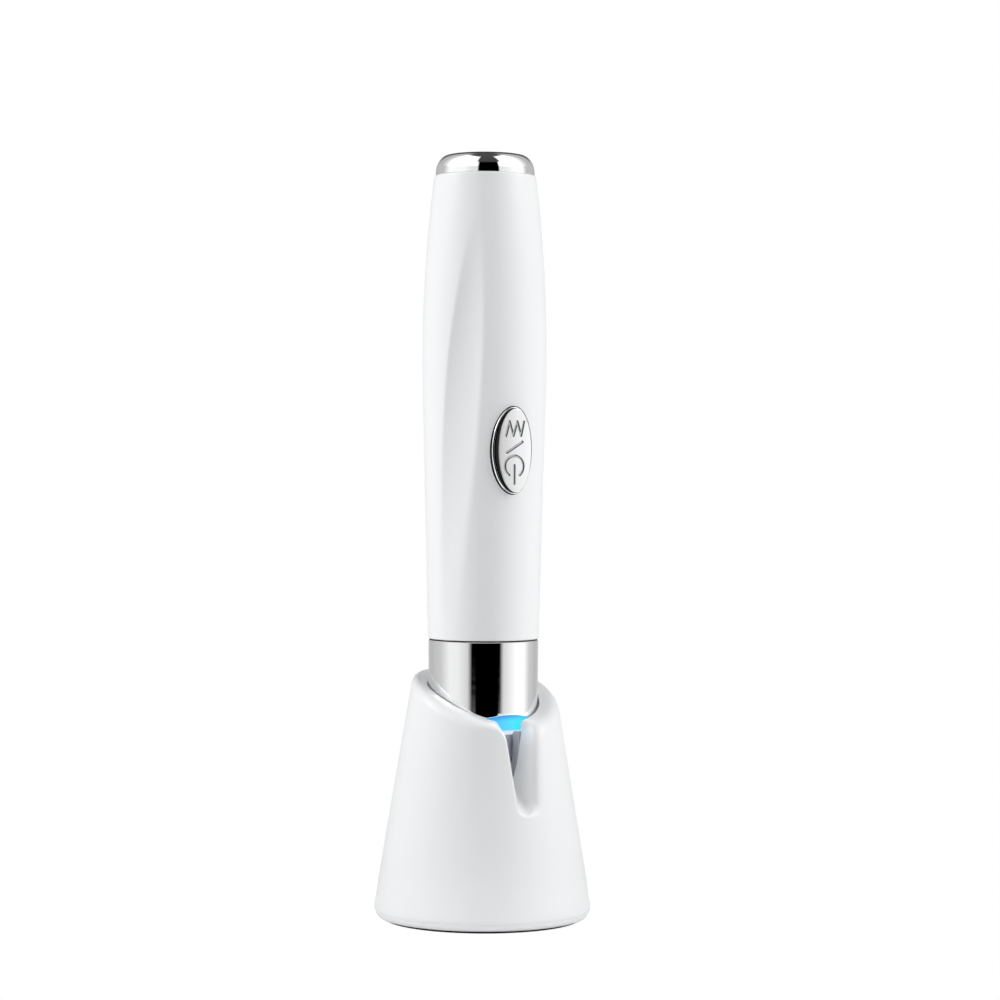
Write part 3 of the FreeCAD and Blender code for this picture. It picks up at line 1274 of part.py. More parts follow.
PIECES = [
    dock_shell(), socket_cup(), cup_screws(), *contact_pins(), dock_board(), dock_chips(),
    dock_port(), ballast_disc(), base_plate(), base_screws(), dock_board_screws(), foot_ring(),
    massage_head(), head_seal(), heater_plate(), temperature_sensor(), light_ring(), lamps(),
    lamp_board(), charge_pads(), collar_ring(), collar_gasket(), motor_carrier(), motor_can(),
    motor_cushion(), *rotor(), handle_shell(), button_gasket(), button_bezel(), mode_button(),
    mode_switch(), switch_plunger(), main_board(), main_board_screws(), board_chips(),
    inner_chassis(), battery(), battery_tabs(), battery_pad(), tail_plug(), tail_seal(),
    tail_screw(), tail_cap(),
]

document.recompute()
for item in document.Objects:
    if {"Invalid", "Error"} & set(item.State):
        raise RuntimeError(f"{item.Label} failed: {item.State}")
os.makedirs("parts", exist_ok=True)
for piece in PIECES:
    if piece.Shape.isNull() or not piece.Shape.isValid():
        raise RuntimeError(f"{piece.Label} has no valid shape")
    piece.Shape.exportStep(f"parts/{piece.Label}.step")
    print(f"{piece.Label}: {len(piece.Shape.Solids)} solid(s), {piece.Shape.Volume:.1f} mm3")
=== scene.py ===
"""Finish of a heated eye massager wand that stands head down in its charging dock.

Lengths inside the builders are millimetres, and become metres where a mesh is made. The wand's axis
is Z, the front with the button and the dock's notch faces -Y, and heights start at the floor.
An angle is turned from the front towards +X.
"""

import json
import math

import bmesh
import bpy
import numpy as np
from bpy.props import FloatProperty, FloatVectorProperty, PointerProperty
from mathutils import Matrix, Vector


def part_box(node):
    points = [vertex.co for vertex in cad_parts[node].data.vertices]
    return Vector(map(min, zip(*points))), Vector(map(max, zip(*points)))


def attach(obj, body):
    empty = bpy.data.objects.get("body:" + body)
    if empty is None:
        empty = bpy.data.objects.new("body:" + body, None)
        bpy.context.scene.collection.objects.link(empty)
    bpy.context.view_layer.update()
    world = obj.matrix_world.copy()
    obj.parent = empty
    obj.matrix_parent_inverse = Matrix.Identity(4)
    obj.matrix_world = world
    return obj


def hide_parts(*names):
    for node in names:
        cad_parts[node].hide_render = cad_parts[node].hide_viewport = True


bl_info = {
    "name": "Eye massager wand in its dock",
    "version": (1, 0, 0),
    "blender": (4, 5, 0),
    "location": "3D View > Sidebar > Wand",
    "description": "Builds the visible shells, trims and finishes round the packed construction",
    "category": "Object",
}

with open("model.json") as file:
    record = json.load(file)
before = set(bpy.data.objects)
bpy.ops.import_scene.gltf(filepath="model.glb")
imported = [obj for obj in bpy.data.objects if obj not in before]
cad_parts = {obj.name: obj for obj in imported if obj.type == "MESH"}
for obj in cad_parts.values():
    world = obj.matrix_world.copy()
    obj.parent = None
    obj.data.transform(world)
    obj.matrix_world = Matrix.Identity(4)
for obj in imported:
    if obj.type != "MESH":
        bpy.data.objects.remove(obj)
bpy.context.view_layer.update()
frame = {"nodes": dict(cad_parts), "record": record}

MM = 0.001
TURN = 2 * math.pi
QUARTER = math.pi / 2
# Turned pieces have this many sides
SIDES = 288
# Edges sharper than this stay crisp
CREASE = math.radians(34)
# Rounds that settle a height on a cone whose radius depends on it
SETTLE = 12


def span(name):
    """Lowest height, highest height and widest radius of a node, in millimetres."""
    low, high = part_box(name)
    return low.z / MM, high.z / MM, high.x / MM


SEAM, _, DOCK_RADIUS = span("dock_shell")
PLATE_FOOT, LIP_TOP, PLATE_RADIUS = span("base_plate")
FOOT_BOTTOM, FOOT_TOP, FOOT_RADIUS = span("foot_ring")
CUP_FOOT, LEDGE, _ = span("socket_cup")
SHOULDER, RING_TOP, RING_RADIUS = span("light_ring")
COLLAR_FOOT, COLLAR_TOP, COLLAR_RADIUS = span("collar_ring")
GASKET_FOOT, HANDLE_FOOT, GASKET_RADIUS = span("collar_gasket")
_, HANDLE_END, BELLY_RADIUS = span("handle_shell")
CAP_FOOT, CAP_TOP, CAP_RADIUS = span("tail_cap")
HEAD_TIP, NECK_TOP, HEAD_RADIUS = span("massage_head")
BEZEL_LOW, BEZEL_HIGH, _ = span("button_bezel")
BUTTON_MIDDLE = (BEZEL_LOW + BEZEL_HIGH) / 2
BEZEL_FACE = -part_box("button_bezel")[0].y / MM
BUTTON_FACE, BUTTON_BACK = (-corner.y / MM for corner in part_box("mode_button"))
PORT_LOW, PORT_HIGH, PORT_HALF = span("charge_socket")
PORT_HEIGHT = (PORT_LOW + PORT_HIGH) / 2
PORT_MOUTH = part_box("charge_socket")[1].y / MM


# ---------------------------------------------------------------- sizes and colours a user may change

def length(name, description, default):
    """Size in millimetres."""
    return FloatProperty(name=name, description=f"{description}, mm", default=default)


def half_sizes(name, description, *default):
    """Half width and half height of an oval, in millimetres."""
    return FloatVectorProperty(name=name, description=f"Half sizes of the {description}, mm", size=2,
                               default=default)


def slope(name, description, degrees):
    """Angle, given in degrees."""
    return FloatProperty(name=name, description=description, subtype="ANGLE", default=math.radians(degrees))


def colour(name, description, *default):
    """Linear colour."""
    return FloatVectorProperty(name=name, description=description, subtype="COLOR", size=3, default=default)


class DockSizes(bpy.types.PropertyGroup):
    """Sizes of the dock's white shell."""
    skirt: length("Skirt", "Height of the rounded skirt over the seam", 1.0)
    skirt_inset: length("Skirt inset", "How far the skirt turns in", 0.2)
    wall: length("Skin", "Thickness of the cone's skin", 1.8)
    taper: FloatProperty(name="Taper", description="Radius lost per mm of height", default=0.1655)
    socket_gap: length("Socket gap", "Room round the collar in the socket", 0.55)
    mouth_gap: length("Mouth gap", "Room round the collar at the rim", 0.26)
    rim_height: length("Rim height", "Mouth's edge on the axis", 46.9)
    rim_rise: length("Rim rise", "Outer corner over the mouth's edge", 0.75)
    rim_lift: length("Rim lift", "Further rise of the outer corner at the back", 1.7)
    rim_slant: slope("Rim slant", "Slope of the rim, low at the front", 18)
    rim_saddle: length("Rim saddle", "Rise of both sides over the slope", 1.05)
    rim_round: length("Rim rounding", "Outer rounding of the rim", 2.3)
    mouth_round: length("Mouth rounding", "Inner rounding of the rim", 0.22)
    notch_foot: length("Notch foot", "Notch floor at the socket", 30.0)
    notch_fall: slope("Notch fall", "Slope of the notch's floor", 42.5)
    notch_half: length("Notch half width", "At the foot of its outer edge", 2.15)
    notch_spread: FloatProperty(name="Notch spread", description="Widening of the outer edge per mm",
                                default=0.087)
    notch_flare: length("Notch flare", "How far the outer edge opens into the rim", 3.5)
    notch_round: length("Notch rounding", "Rounding of the notch's left edge", 0.4)
    notch_soft: length("Notch softness", "Rounding of the notch's right edge", 2.1)
    notch_dip: length("Notch dip", "Hollow of the notch's floor by its left edge", 0.9)
    slit_foot: length("Slit foot", "Lowest point of the inner edge", 30.3)
    slit_width: length("Slit width", "Half width 1 mm above its foot", 0.79)
    slit_flare: length("Slit flare", "How far the inner edge opens into the rim", 1.0)


class HandleSizes(bpy.types.PropertyGroup):
    """Sizes of the white handle."""
    foot_radius: length("Foot radius", "At the gasket", 11.6)
    tail_radius: length("Tail radius", "At the cap", 10.6)
    belly_drop: length("Belly drop", "Belly below the handle's end", 37.8)
    belly_tail: length("Belly tail", "Arc below the belly", 10.0)
    wall: length("Wall", "Thickness of the handle", 1.8)
    edge: length("Edge", "Rounding of both ends", 0.22)
    cap_sink: length("Cap sink", "Cap's foot below the packed cap's", 0.35)
    cap_rise: length("Cap rise", "Cap's top above the packed cap's", 0.4)
    flute_drop: length("Flute drop", "Flute's upper end below the top", 10.5)
    flute_length: length("Flute length", "Length of the grip flute", 88.0)
    flute_half: length("Flute half width", "At its widest", 3.95)
    flute_hollow: length("Flute hollow", "Hollow of the flute's floor", 0.9)
    flute_angle: slope("Flute angle", "Upper end, left of the front", 37.0)
    flute_twist: slope("Flute twist", "Twist over the flute's length", 32)


class ButtonSizes(bpy.types.PropertyGroup):
    """Sizes of the button and its bezel."""
    seat: half_sizes("Seat", "oval seat in the handle", 4.95, 9.16)
    band: half_sizes("Band", "bezel's outside", 4.64, 8.94)
    bore: half_sizes("Bore", "bezel's inside", 4.21, 8.7)
    play: length("Play", "Gap between button and bezel", 0.1)
    flare: length("Flare", "Button's black side, wider at its foot by", 0.32)
    crown: length("Crown", "Radius of the face from side to side", 28.0)
    plate: length("Plate", "Thickness of the silver face plate", 0.5)
    round: length("Rounding", "Rounding of the plate's edge", 0.1)
    mark_width: length("Mark width", "Width of the engraved marks", 0.6)
    mark_depth: length("Mark depth", "Depth of the engraved marks", 0.3)


class Colours(bpy.types.PropertyGroup):
    """Colours of the finishes, as linear values."""
    white: colour("White plastic", "Shells", 0.87, 0.878, 0.885)
    chrome: colour("Chrome", "Collar, cap and bezel", 0.93, 0.932, 0.935)
    silver: colour("Silver", "Face of the button", 0.8, 0.803, 0.81)
    head: colour("Head metal", "Massage head", 0.8, 0.79, 0.84)
    light: colour("Light", "Lit ring, lower part", 0.08, 0.485, 0.95)
    light_deep: colour("Deep light", "Lit ring, upper part", 0.032, 0.22, 0.64)
    # Pale glow painted at the lit ring's foot and on a band round the head's neck, a painted reflection of the
    # ring's light on the head's top
    light_pale: colour("Pale light", "Lit ring, lowest stripe", 0.58, 0.67, 0.75)


class StagePlan(bpy.types.PropertyGroup):
    """Camera, floor and studio."""
    azimuth: slope("Azimuth", "Camera round the wand", -28.5)
    distance: FloatProperty(name="Distance", description="Camera to the wand's axis", unit="LENGTH",
                            default=0.5976)
    height: FloatProperty(name="Height", description="Level camera's height", unit="LENGTH", default=0.0927)
    lens: length("Lens", "Focal length on a 36 mm sensor", 102.6)
    roll: slope("Roll", "Camera turned about its own view", 0.23)
    shift_x: FloatProperty(name="Shift across", description="Lens shift", default=0.016)
    shift_y: FloatProperty(name="Shift up", description="Lens shift", default=-0.024)
    strength: FloatProperty(name="Studio strength", description="Level of the soft studio walls",
                            default=1.02)
    floor_radius: FloatProperty(name="Floor radius", description="Round floor", unit="LENGTH", default=0.06)


# ---------------------------------------------------------------- meshes

def new_piece(name, vertices, faces, body, slot, replaced, finish=None):
    """Mesh piece from millimetres, with smooth faces and crisp creases, riding on its body."""
    piece = mesh_object(name, vertices, faces)
    piece.data.materials.append(finished(finish or slot))
    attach(piece, body)
    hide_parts(replaced)
    return piece


def mesh_object(name, vertices, faces):
    """Object with a tidy mesh, from millimetres."""
    mesh = bpy.data.meshes.new(name)
    mesh.from_pydata([tuple(point) for point in np.asarray(vertices, float) * MM], [], faces)
    mesh.validate()
    made = bpy.data.objects.new(name, mesh)
    bpy.context.scene.collection.objects.link(made)
    tidy_normals(mesh)
    return made


def tidy_normals(mesh):
    """Turn all faces outwards and keep only real creases sharp."""
    work = bmesh.new()
    work.from_mesh(mesh)
    bmesh.ops.recalc_face_normals(work, faces=work.faces)
    work.to_mesh(mesh)
    work.free()
    mesh.shade_smooth()
    mesh.set_sharp_from_angle(angle=CREASE)


def skin_over(levels, tip=None, capped=False):
    """Vertices and faces over rings of points.

    The last ring joins the first one, unless a tip or a cap closes the first ring and a cap the last.
    """
    sides, rows = len(levels[0]), len(levels)
    is_band = tip is None and not capped
    vertices = np.stack(levels, axis=1).reshape(-1, 3)
    faces = []
    for side in range(sides):
        here, there = side * rows, (side + 1) % sides * rows
        for row in range(rows if is_band else rows - 1):
            above = (row + 1) % rows
            faces.append((here + row, there + row, there + above, here + above))
    if is_band:
        return vertices, faces
    if tip is None:
        faces.append(tuple(side * rows for side in range(sides - 1, -1, -1)))
    else:
        vertices = np.vstack([vertices, [tip]])
        faces += [(side * rows, len(vertices) - 1, (side + 1) % sides * rows) for side in range(sides)]
    faces.append(tuple(side * rows + rows - 1 for side in range(sides)))
    return vertices, faces


def on_round(angle, height, radius):
    """Points in space from angles, heights and radii."""
    return np.stack(np.broadcast_arrays(radius * np.sin(angle), -radius * np.cos(angle), height), axis=-1)


def ease(share):
    """Soft start and end over a share, which is held between 0 and 1."""
    share = np.clip(share, 0, 1)
    return share * share * (3 - 2 * share)


def soft_minimum(first, second, width):
    """Smaller of two values with a soft change over a width."""
    share = np.clip(0.5 + 0.5 * (second - first) / width, 0, 1)
    return second + (first - second) * share - width * share * (1 - share)


def quarter_turn(steps, first=0):
    """Angles over a quarter turn."""
    return [QUARTER * step / steps for step in range(first, steps + 1)]


def rounded_outline(corners, steps=7):
    """Closed outline through (radius, height, rounding) corners, with an arc at each rounding."""
    points = []
    for index, corner in enumerate(corners):
        here = Vector(corner[:2])
        rounding = corner[2] if len(corner) > 2 else 0
        if not rounding:
            points.append(here)
            continue
        back = (Vector(corners[index - 1][:2]) - here).normalized()
        ahead = (Vector(corners[(index + 1) % len(corners)][:2]) - here).normalized()
        half = back.angle(ahead) / 2
        centre = here + (back + ahead).normalized() * rounding / math.sin(half)
        start = here + back * rounding / math.tan(half) - centre
        end = here + ahead * rounding / math.tan(half) - centre
        sweep = math.atan2(start.x * end.y - start.y * end.x, start.dot(end))
        for step in range(steps + 1):
            angle = sweep * step / steps
            points.append(centre + Vector((start.x * math.cos(angle) - start.y * math.sin(angle),
                                           start.x * math.sin(angle) + start.y * math.cos(angle))))
    return points


def lathe(outline):
    """Closed solid of revolution. Points on the axis become one vertex each."""
    vertices = []
    rings = []
    for radius, height in outline:
        if radius < 1e-6:
            rings.append([len(vertices)] * SIDES)
            vertices.append((0, 0, height))
            continue
        rings.append(list(range(len(vertices), len(vertices) + SIDES)))
        for side in range(SIDES):
            angle = TURN * side / SIDES
            vertices.append((radius * math.sin(angle), -radius * math.cos(angle), height))
    faces = []
    for ring, follower in zip(rings, rings[1:] + rings[:1]):
        for side in range(SIDES):
            other = (side + 1) % SIDES
            corners = [ring[side], ring[other], follower[other], follower[side]]
            loop = [corner for index, corner in enumerate(corners) if corner != corners[index - 1]]
            if len(set(loop)) > 2:
                faces.append(loop)
    return vertices, faces


def oval_outline(half_wide, half_long, sides=192):
    """Upright oval round the button's middle, as (x, z) points."""
    angles = [TURN * side / sides for side in range(sides)]
    return [(half_wide * math.sin(angle), BUTTON_MIDDLE + half_long * math.cos(angle)) for angle in angles]


def port_outline(half_wide, half_high, sides=24):
    """Level bar with round ends at the height of the charging port, as (x, z) points."""
    outline = []
    for sign in (1, -1):
        for side in range(sides + 1):
            angle = math.pi * side / sides - QUARTER
            outline.append((sign * (half_wide - half_high + half_high * math.cos(angle)),
                            PORT_HEIGHT + sign * half_high * math.sin(angle)))
    return outline


def carve(piece, outline, near, far):
    """Cut a block out of a piece for good: an (x, z) outline from one place to another along Y."""
    count = len(outline)
    points = [(x, y, z) for y in (near, far) for x, z in outline]
    faces = [(side, (side + 1) % count, count + (side + 1) % count, count + side) for side in range(count)]
    faces += [tuple(range(count)), tuple(range(2 * count - 1, count - 1, -1))]
    tool = mesh_object("tool", points, faces)
    cutter = piece.modifiers.new("carve", "BOOLEAN")
    cutter.operation = "DIFFERENCE"
    cutter.solver = "EXACT"
    cutter.object = tool
    bpy.context.view_layer.update()
    carved = bpy.data.meshes.new_from_object(piece.evaluated_get(bpy.context.evaluated_depsgraph_get()))
    piece.modifiers.remove(cutter)
    old, old_tool = piece.data, tool.data
    name = old.name
    piece.data = carved
    bpy.data.meshes.remove(old)
    carved.name = name
    bpy.data.objects.remove(tool)
    bpy.data.meshes.remove(old_tool)
    tidy_normals(carved)


# ---------------------------------------------------------------- shader nodes

def feed(tree, socket, value):
    """Give an input a plain value, a colour, or another node's output."""
    if isinstance(value, bpy.types.NodeSocket):
        tree.links.new(value, socket)
    else:
        socket.default_value = (*value, 1) if socket.type == "RGBA" else value


def node(tree, kind, *inputs, **named):
    """Shader node with its inputs by place, and its settings and other inputs by name."""
    made = tree.nodes.new(kind)
    for key, value in named.items():
        if hasattr(made, key):
            setattr(made, key, value)
        else:
            feed(tree, made.inputs[key.replace("_", " ")], value)
    for place, value in enumerate(inputs):
        feed(tree, made.inputs[place], value)
    return made


def maths(tree, operation, *inputs):
    """Result of an operation on numbers and outputs."""
    return node(tree, "ShaderNodeMath", *inputs, operation=operation).outputs[0]


def remap(tree, source, low, high, to_low=0.0, to_high=1.0, smooth=True):
    """Value carried from one range to another and held at both ends."""
    return node(tree, "ShaderNodeMapRange", source, low, high, to_low, to_high,
                interpolation_type="SMOOTHSTEP" if smooth else "LINEAR").outputs["Result"]


def ramp(tree, source, stops):
    """Colour over a value, from (place, colour) stops."""
    made = node(tree, "ShaderNodeValToRGB", source)
    steps = made.color_ramp.elements
    steps.remove(steps[1])
    for index, (place, tone) in enumerate(stops):
        step = steps.new(place) if index else steps[0]
        step.position = place
        step.color = (*tone, 1)
    return made.outputs["Color"]


def mix(tree, share, first, second, blend_type="MIX"):
    """Blend of two colours."""
    made = node(tree, "ShaderNodeMix", share, data_type="RGBA", blend_type=blend_type)
    feed(tree, made.inputs[6], first)
    feed(tree, made.inputs[7], second)
    return made.outputs[2]


def object_place(tree):
    """Place on the piece in its own coordinates."""
    return node(tree, "ShaderNodeTexCoord").outputs["Object"]


def object_noise(tree, scale, detail=3.0, stretch=(1, 1, 1)):
    """Noise over the piece's own coordinates."""
    mapping = node(tree, "ShaderNodeMapping", Vector=object_place(tree), Scale=stretch)
    return node(tree, "ShaderNodeTexNoise", Vector=mapping.outputs["Vector"], Scale=scale,
                Detail=detail).outputs["Fac"]


# ---------------------------------------------------------------- materials

def shader(name, **sockets):
    """New material with a principled shader whose plain values sit on its own sockets."""
    material = bpy.data.materials.new(name)
    material.use_nodes = True
    tree = material.node_tree
    surface = tree.nodes["Principled BSDF"].inputs
    for socket, value in sockets.items():
        feed(tree, surface[socket.replace("_", " ")], value)
    return material, tree, surface


def vary_gloss(tree, surface, source, low, high):
    """Roughness that drifts between two values by a noise."""
    feed(tree, surface["Roughness"], remap(tree, source, 0.3, 0.7, low, high))


def tint(tree, surface, source, dark, light):
    """Colour that drifts between two near tones."""
    feed(tree, surface["Base Color"], ramp(tree, source, [(0.35, dark), (0.65, light)]))


def bump(tree, surface, source, strength, distance):
    """Fine relief from a noise, in metres."""
    relief = node(tree, "ShaderNodeBump", Strength=strength, Distance=distance, Height=source)
    feed(tree, surface["Normal"], relief.outputs["Normal"])


def shade(tone, factor):
    """A colour made darker or lighter."""
    return tuple(min(part * factor, 1) for part in tone)


def moulded_plastic(name, tone, low, high, coat=0.0, ior=1.49):
    """Moulded plastic: an even tone, a slow drift of gloss and a fine moulded skin."""
    material, tree, surface = shader(name, Base_Color=tone, IOR=ior, Coat_Weight=coat, Coat_Roughness=0.12)
    vary_gloss(tree, surface, object_noise(tree, 55), low, high)
    bump(tree, surface, object_noise(tree, 2400, 2), 0.05, 0.00002)
    return material


def mirror_chrome(name, tone):
    """Bright chrome plating with faint wipe marks."""
    material, tree, surface = shader(name, Metallic=1.0)
    vary_gloss(tree, surface, object_noise(tree, 160, 4, (1, 1, 6)), 0.02, 0.04)
    tint(tree, surface, object_noise(tree, 30), shade(tone, 0.985), tone)
    return material


def metal(name, tone, low, high, scale=300, stretch=(1, 1, 1), relief=0.0, metallic=1.0):
    """Metal with varied polish. Below 1, metallic gives the softer look of a blasted surface."""
    material, tree, surface = shader(name, Metallic=metallic)
    grain = object_noise(tree, scale, 4, stretch)
    vary_gloss(tree, surface, grain, low, high)
    tint(tree, surface, grain, shade(tone, 0.94), shade(tone, 1.03))
    if relief:
        bump(tree, surface, grain, relief, 0.00002)
    return material


def engraved_silver(name, tone):
    """Satin silver. Its engraved marks get painted shade by their depth under the crowned face: near black on
    their walls and a lighter shade on their floors.
    """
    button = bpy.context.scene.wand_button
    material, tree, surface = shader(name, Metallic=1.0)
    x, y, _ = node(tree, "ShaderNodeSeparateXYZ", object_place(tree)).outputs
    flattened = maths(tree, "MULTIPLY_ADD", maths(tree, "POWER", x, 2.0), -1 / (2 * button.crown * MM), y)
    depth = remap(tree, flattened, -BUTTON_FACE * MM, (button.mark_depth - BUTTON_FACE) * MM, smooth=False)
    # Painted shade in the engraved marks: near black on their walls and lighter on their floors
    wall = shade(tone, 0.16)
    stops = [(0.06, tone), (0.3, wall), (0.8, wall), (0.98, shade(tone, 0.62))]
    feed(tree, surface["Base Color"], ramp(tree, depth, stops))
    vary_gloss(tree, surface, object_noise(tree, 900, 4, (1, 1, 0.05)), 0.28, 0.34)
    return material


def rubber(name, tone):
    """Soft dark rubber with a dull moulded grain."""
    material, tree, surface = shader(name, IOR=1.5)
    grain = object_noise(tree, 900, 3)
    vary_gloss(tree, surface, grain, 0.62, 0.8)
    tint(tree, surface, grain, shade(tone, 0.85), shade(tone, 1.2))
    bump(tree, surface, grain, 0.15, 0.00004)
    return material


def circuit_board(name, tone):
    """Green board with a fine weave under its lacquer and lighter tracks."""
    material, tree, surface = shader(name, IOR=1.5, Coat_Weight=0.4, Coat_Roughness=0.1)
    tracks = node(tree, "ShaderNodeTexBrick", Vector=object_place(tree), Scale=420.0, Color1=tone,
                  Color2=shade(tone, 1.25), Mortar=shade(tone, 0.6), Mortar_Size=0.06)
    feed(tree, surface["Base Color"], tracks.outputs["Color"])
    vary_gloss(tree, surface, object_noise(tree, 500), 0.3, 0.5)
    return material


def lit_ring(name, light):
    """Ring full of light: deeper at its upper edge and greener to one side, with a painted reflection at its
    foot, a pale stripe that stands for the ring's light reflected on the head's top.
    """
    colours = bpy.context.scene.wand_colours
    greener = (0.56, 1.55, 1.05)
    material, tree, surface = shader(name, Base_Color=(0.02, 0.08, 0.12), IOR=1.45, Emission_Strength=1.0)
    x, _, z = node(tree, "ShaderNodeSeparateXYZ", object_place(tree)).outputs
    height = remap(tree, z, SHOULDER * MM, (RING_TOP - 0.25) * MM, smooth=False)
    glow = ramp(tree, height, [(0.62, light), (1.0, colours.light_deep)])
    across = remap(tree, x, -0.35 * RING_RADIUS * MM, 0.3 * RING_RADIUS * MM)
    glow = mix(tree, across, glow, greener, "MULTIPLY")
    # Painted reflection: the ring's lowest stripe glows pale, standing for the ring's light reflected on the
    # head's top
    foot = remap(tree, z, (SHOULDER + 0.1) * MM, (SHOULDER + 0.35) * MM)
    feed(tree, surface["Emission Color"], mix(tree, foot, colours.light_pale, glow))
    vary_gloss(tree, surface, object_noise(tree, 700), 0.2, 0.26)
    return material


def pale_light(name, light):
    """Painted reflection: a pale glowing band that stands for the lit ring's light reflected on the head's top,
    faintly uneven.
    """
    material, tree, surface = shader(name, Base_Color=(0.7, 0.7, 0.74), IOR=1.45, Emission_Strength=0.75)
    glow = ramp(tree, object_noise(tree, 400), [(0.0, shade(light, 0.92)), (1.0, light)])
    feed(tree, surface["Emission Color"], glow)
    vary_gloss(tree, surface, object_noise(tree, 700), 0.3, 0.38)
    return material


# Each finish's maker, material name, colour (one of the user's by its name) and further values
FINISHES = {
    "white_gloss": (moulded_plastic, "white_gloss_plastic", "white", 0.29, 0.33, 0.15),
    "chrome": (mirror_chrome, "bright_chrome", "chrome"),
    "silver": (engraved_silver, "satin_silver", "silver"),
    "head_metal": (metal, "head_metal_satin", "head", 0.5, 0.58, 260, (1, 1, 5), 0.0, 0.45),
    "light_blue": (lit_ring, "lit_blue_ring", "light"),
    # Glowing pale band of painted reflection under the lit ring
    "pale_light": (pale_light, "pale_light_edge", "light_pale"),
    "lamp_lens": (lit_ring, "blue_lamp", "light"),
    "grey_plastic": (moulded_plastic, "grey_satin_plastic", (0.55, 0.55, 0.59), 0.42, 0.5),
    "black_plastic": (moulded_plastic, "black_plastic_case", (0.02, 0.02, 0.022), 0.35, 0.45),
    # Black plastic of the button's side, darkened and dulled further as painted shade of the gap round the
    # button
    "button_side": (moulded_plastic, "black_button_side", (0.004, 0.004, 0.004), 0.35, 0.45, 0.0, 1.25),
    "chip_black": (moulded_plastic, "chip_resin", (0.025, 0.025, 0.028), 0.5, 0.62),
    "battery_sleeve": (moulded_plastic, "battery_sleeve_film", (0.04, 0.16, 0.42), 0.2, 0.26, 0.5),
    "board_green": (circuit_board, "circuit_board_green", (0.02, 0.16, 0.06)),
    "bright_steel": (metal, "bright_nickel", (0.72, 0.72, 0.73), 0.18, 0.26),
    "screw_steel": (metal, "screw_zinc", (0.55, 0.56, 0.58), 0.29, 0.4, 800),
    "zinc_steel": (metal, "dull_zinc_steel", (0.5, 0.51, 0.53), 0.4, 0.55, 200, (1, 1, 1), 0.1),
    "gold_contact": (metal, "gold_plate", (0.9, 0.66, 0.25), 0.16, 0.24, 900),
    "copper_film": (metal, "copper_heater_film", (0.78, 0.38, 0.2), 0.3, 0.42, 500),
    "dark_rubber": (rubber, "black_rubber", (0.02, 0.02, 0.021)),
}


# Materials made so far, by their finish
made_finishes = {}


def finished(finish):
    """Material of a finish, which is made once and shared by the pieces that have it."""
    if finish not in made_finishes:
        maker, name, tone, *values = FINISHES[finish]
        if isinstance(tone, str):
            tone = tuple(getattr(bpy.context.scene.wand_colours, tone))
        made_finishes[finish] = maker(name, tone, *values)
    return made_finishes[finish]


# ---------------------------------------------------------------- dock shell

def cone_radius(height):
    """Outer radius of the dock at heights on its cone."""
    dock = bpy.context.scene.wand_dock
    return DOCK_RADIUS - (height - SEAM - dock.skirt) * dock.taper


def socket_radius(height):
    """Radius of the socket at heights. It draws in round the collar above the cup."""
    dock = bpy.context.scene.wand_dock
    start = LEDGE + 0.2
    reach = 1.3
    gap = dock.socket_gap + (dock.mouth_gap - dock.socket_gap) * ease((height - start) / reach)
    return COLLAR_RADIUS + gap


def rim_level(angle, radius_at, height):
    """Height of the rim at an angle from the front: a slope that is lifted at both sides."""
    dock = bpy.context.scene.wand_dock
    saddle = dock.rim_saddle * math.cos(2 * angle)
    if radius_at is cone_radius:
        saddle -= dock.rim_lift * ((1 - math.cos(angle)) / 2) ** 1.5
    level = height
    for _ in range(SETTLE):
        level = height - radius_at(level) * math.cos(angle) * math.tan(dock.rim_slant) - saddle
    return level


def opening_edge(radius_at, height, tip, side_x, flare, counts):
    """One whole edge of the dock's opening, as (angle, height) from the back round its left side.

    Its right half runs along the tip's (x, height) points, up the side, through the flare and along
    the rim to the back, and the left half is its mirror image.
    """
    def flat(x, level):
        return math.asin(x / radius_at(level)), level

    edge = [flat(*point) for point in tip[:-1]]
    corner = height
    for _ in range(SETTLE):
        corner = rim_level(flat(side_x(corner), corner)[0], radius_at, height)
    side_foot = tip[-1][1]
    flare_foot = corner - flare
    for step in range(counts[1]):
        level = side_foot + (flare_foot - side_foot) * step / counts[1]
        edge.append(flat(side_x(level), level))
    start = Vector(flat(side_x(flare_foot), flare_foot))
    middle = Vector(flat(side_x(corner), corner))
    end_angle = middle[0] + flare / radius_at(corner)
    end = Vector((end_angle, rim_level(end_angle, radius_at, height)))
    for step in range(counts[2]):
        share = step / counts[2]
        edge.append(tuple(start * (1 - share) ** 2 + middle * 2 * share * (1 - share) + end * share ** 2))
    for step in range(counts[3] + 1):
        angle = end_angle + (math.pi - end_angle) * step / counts[3]
        edge.append((angle, rim_level(angle, radius_at, height)))
    half = np.array(edge)
    return np.vstack([half[1:][::-1] * (-1, 1), half[:-1]])


def channel_side(foot, tip_half, spread, steps):
    """Rounded tip points of the notch's outer edge and the function of its straight side."""
    centre = foot + tip_half
    lean = math.atan(spread)
    turns = [(QUARTER - lean) * step / steps for step in range(steps + 1)]
    tip = [(tip_half * math.sin(turn), centre - tip_half * math.cos(turn)) for turn in turns]
    return tip, lambda level: tip[-1][0] + (level - tip[-1][1]) * spread


def slit_side(foot, width, steps):
    """Tip points of the slit's inner edge and the function of its side, which are one parabola."""
    tip_half = width * math.sqrt(2.0)
    reaches = [tip_half * step / steps for step in range(steps + 1)]
    tip = [(reach, foot + (reach / width) ** 2) for reach in reaches]
    return tip, lambda level: width * math.sqrt(level - foot)


def on_skin(edge, radius_at):
    """Points in space from (angle, height) points on the cone or in the socket."""
    return on_round(edge[:, 0], edge[:, 1], radius_at(edge[:, 1]))


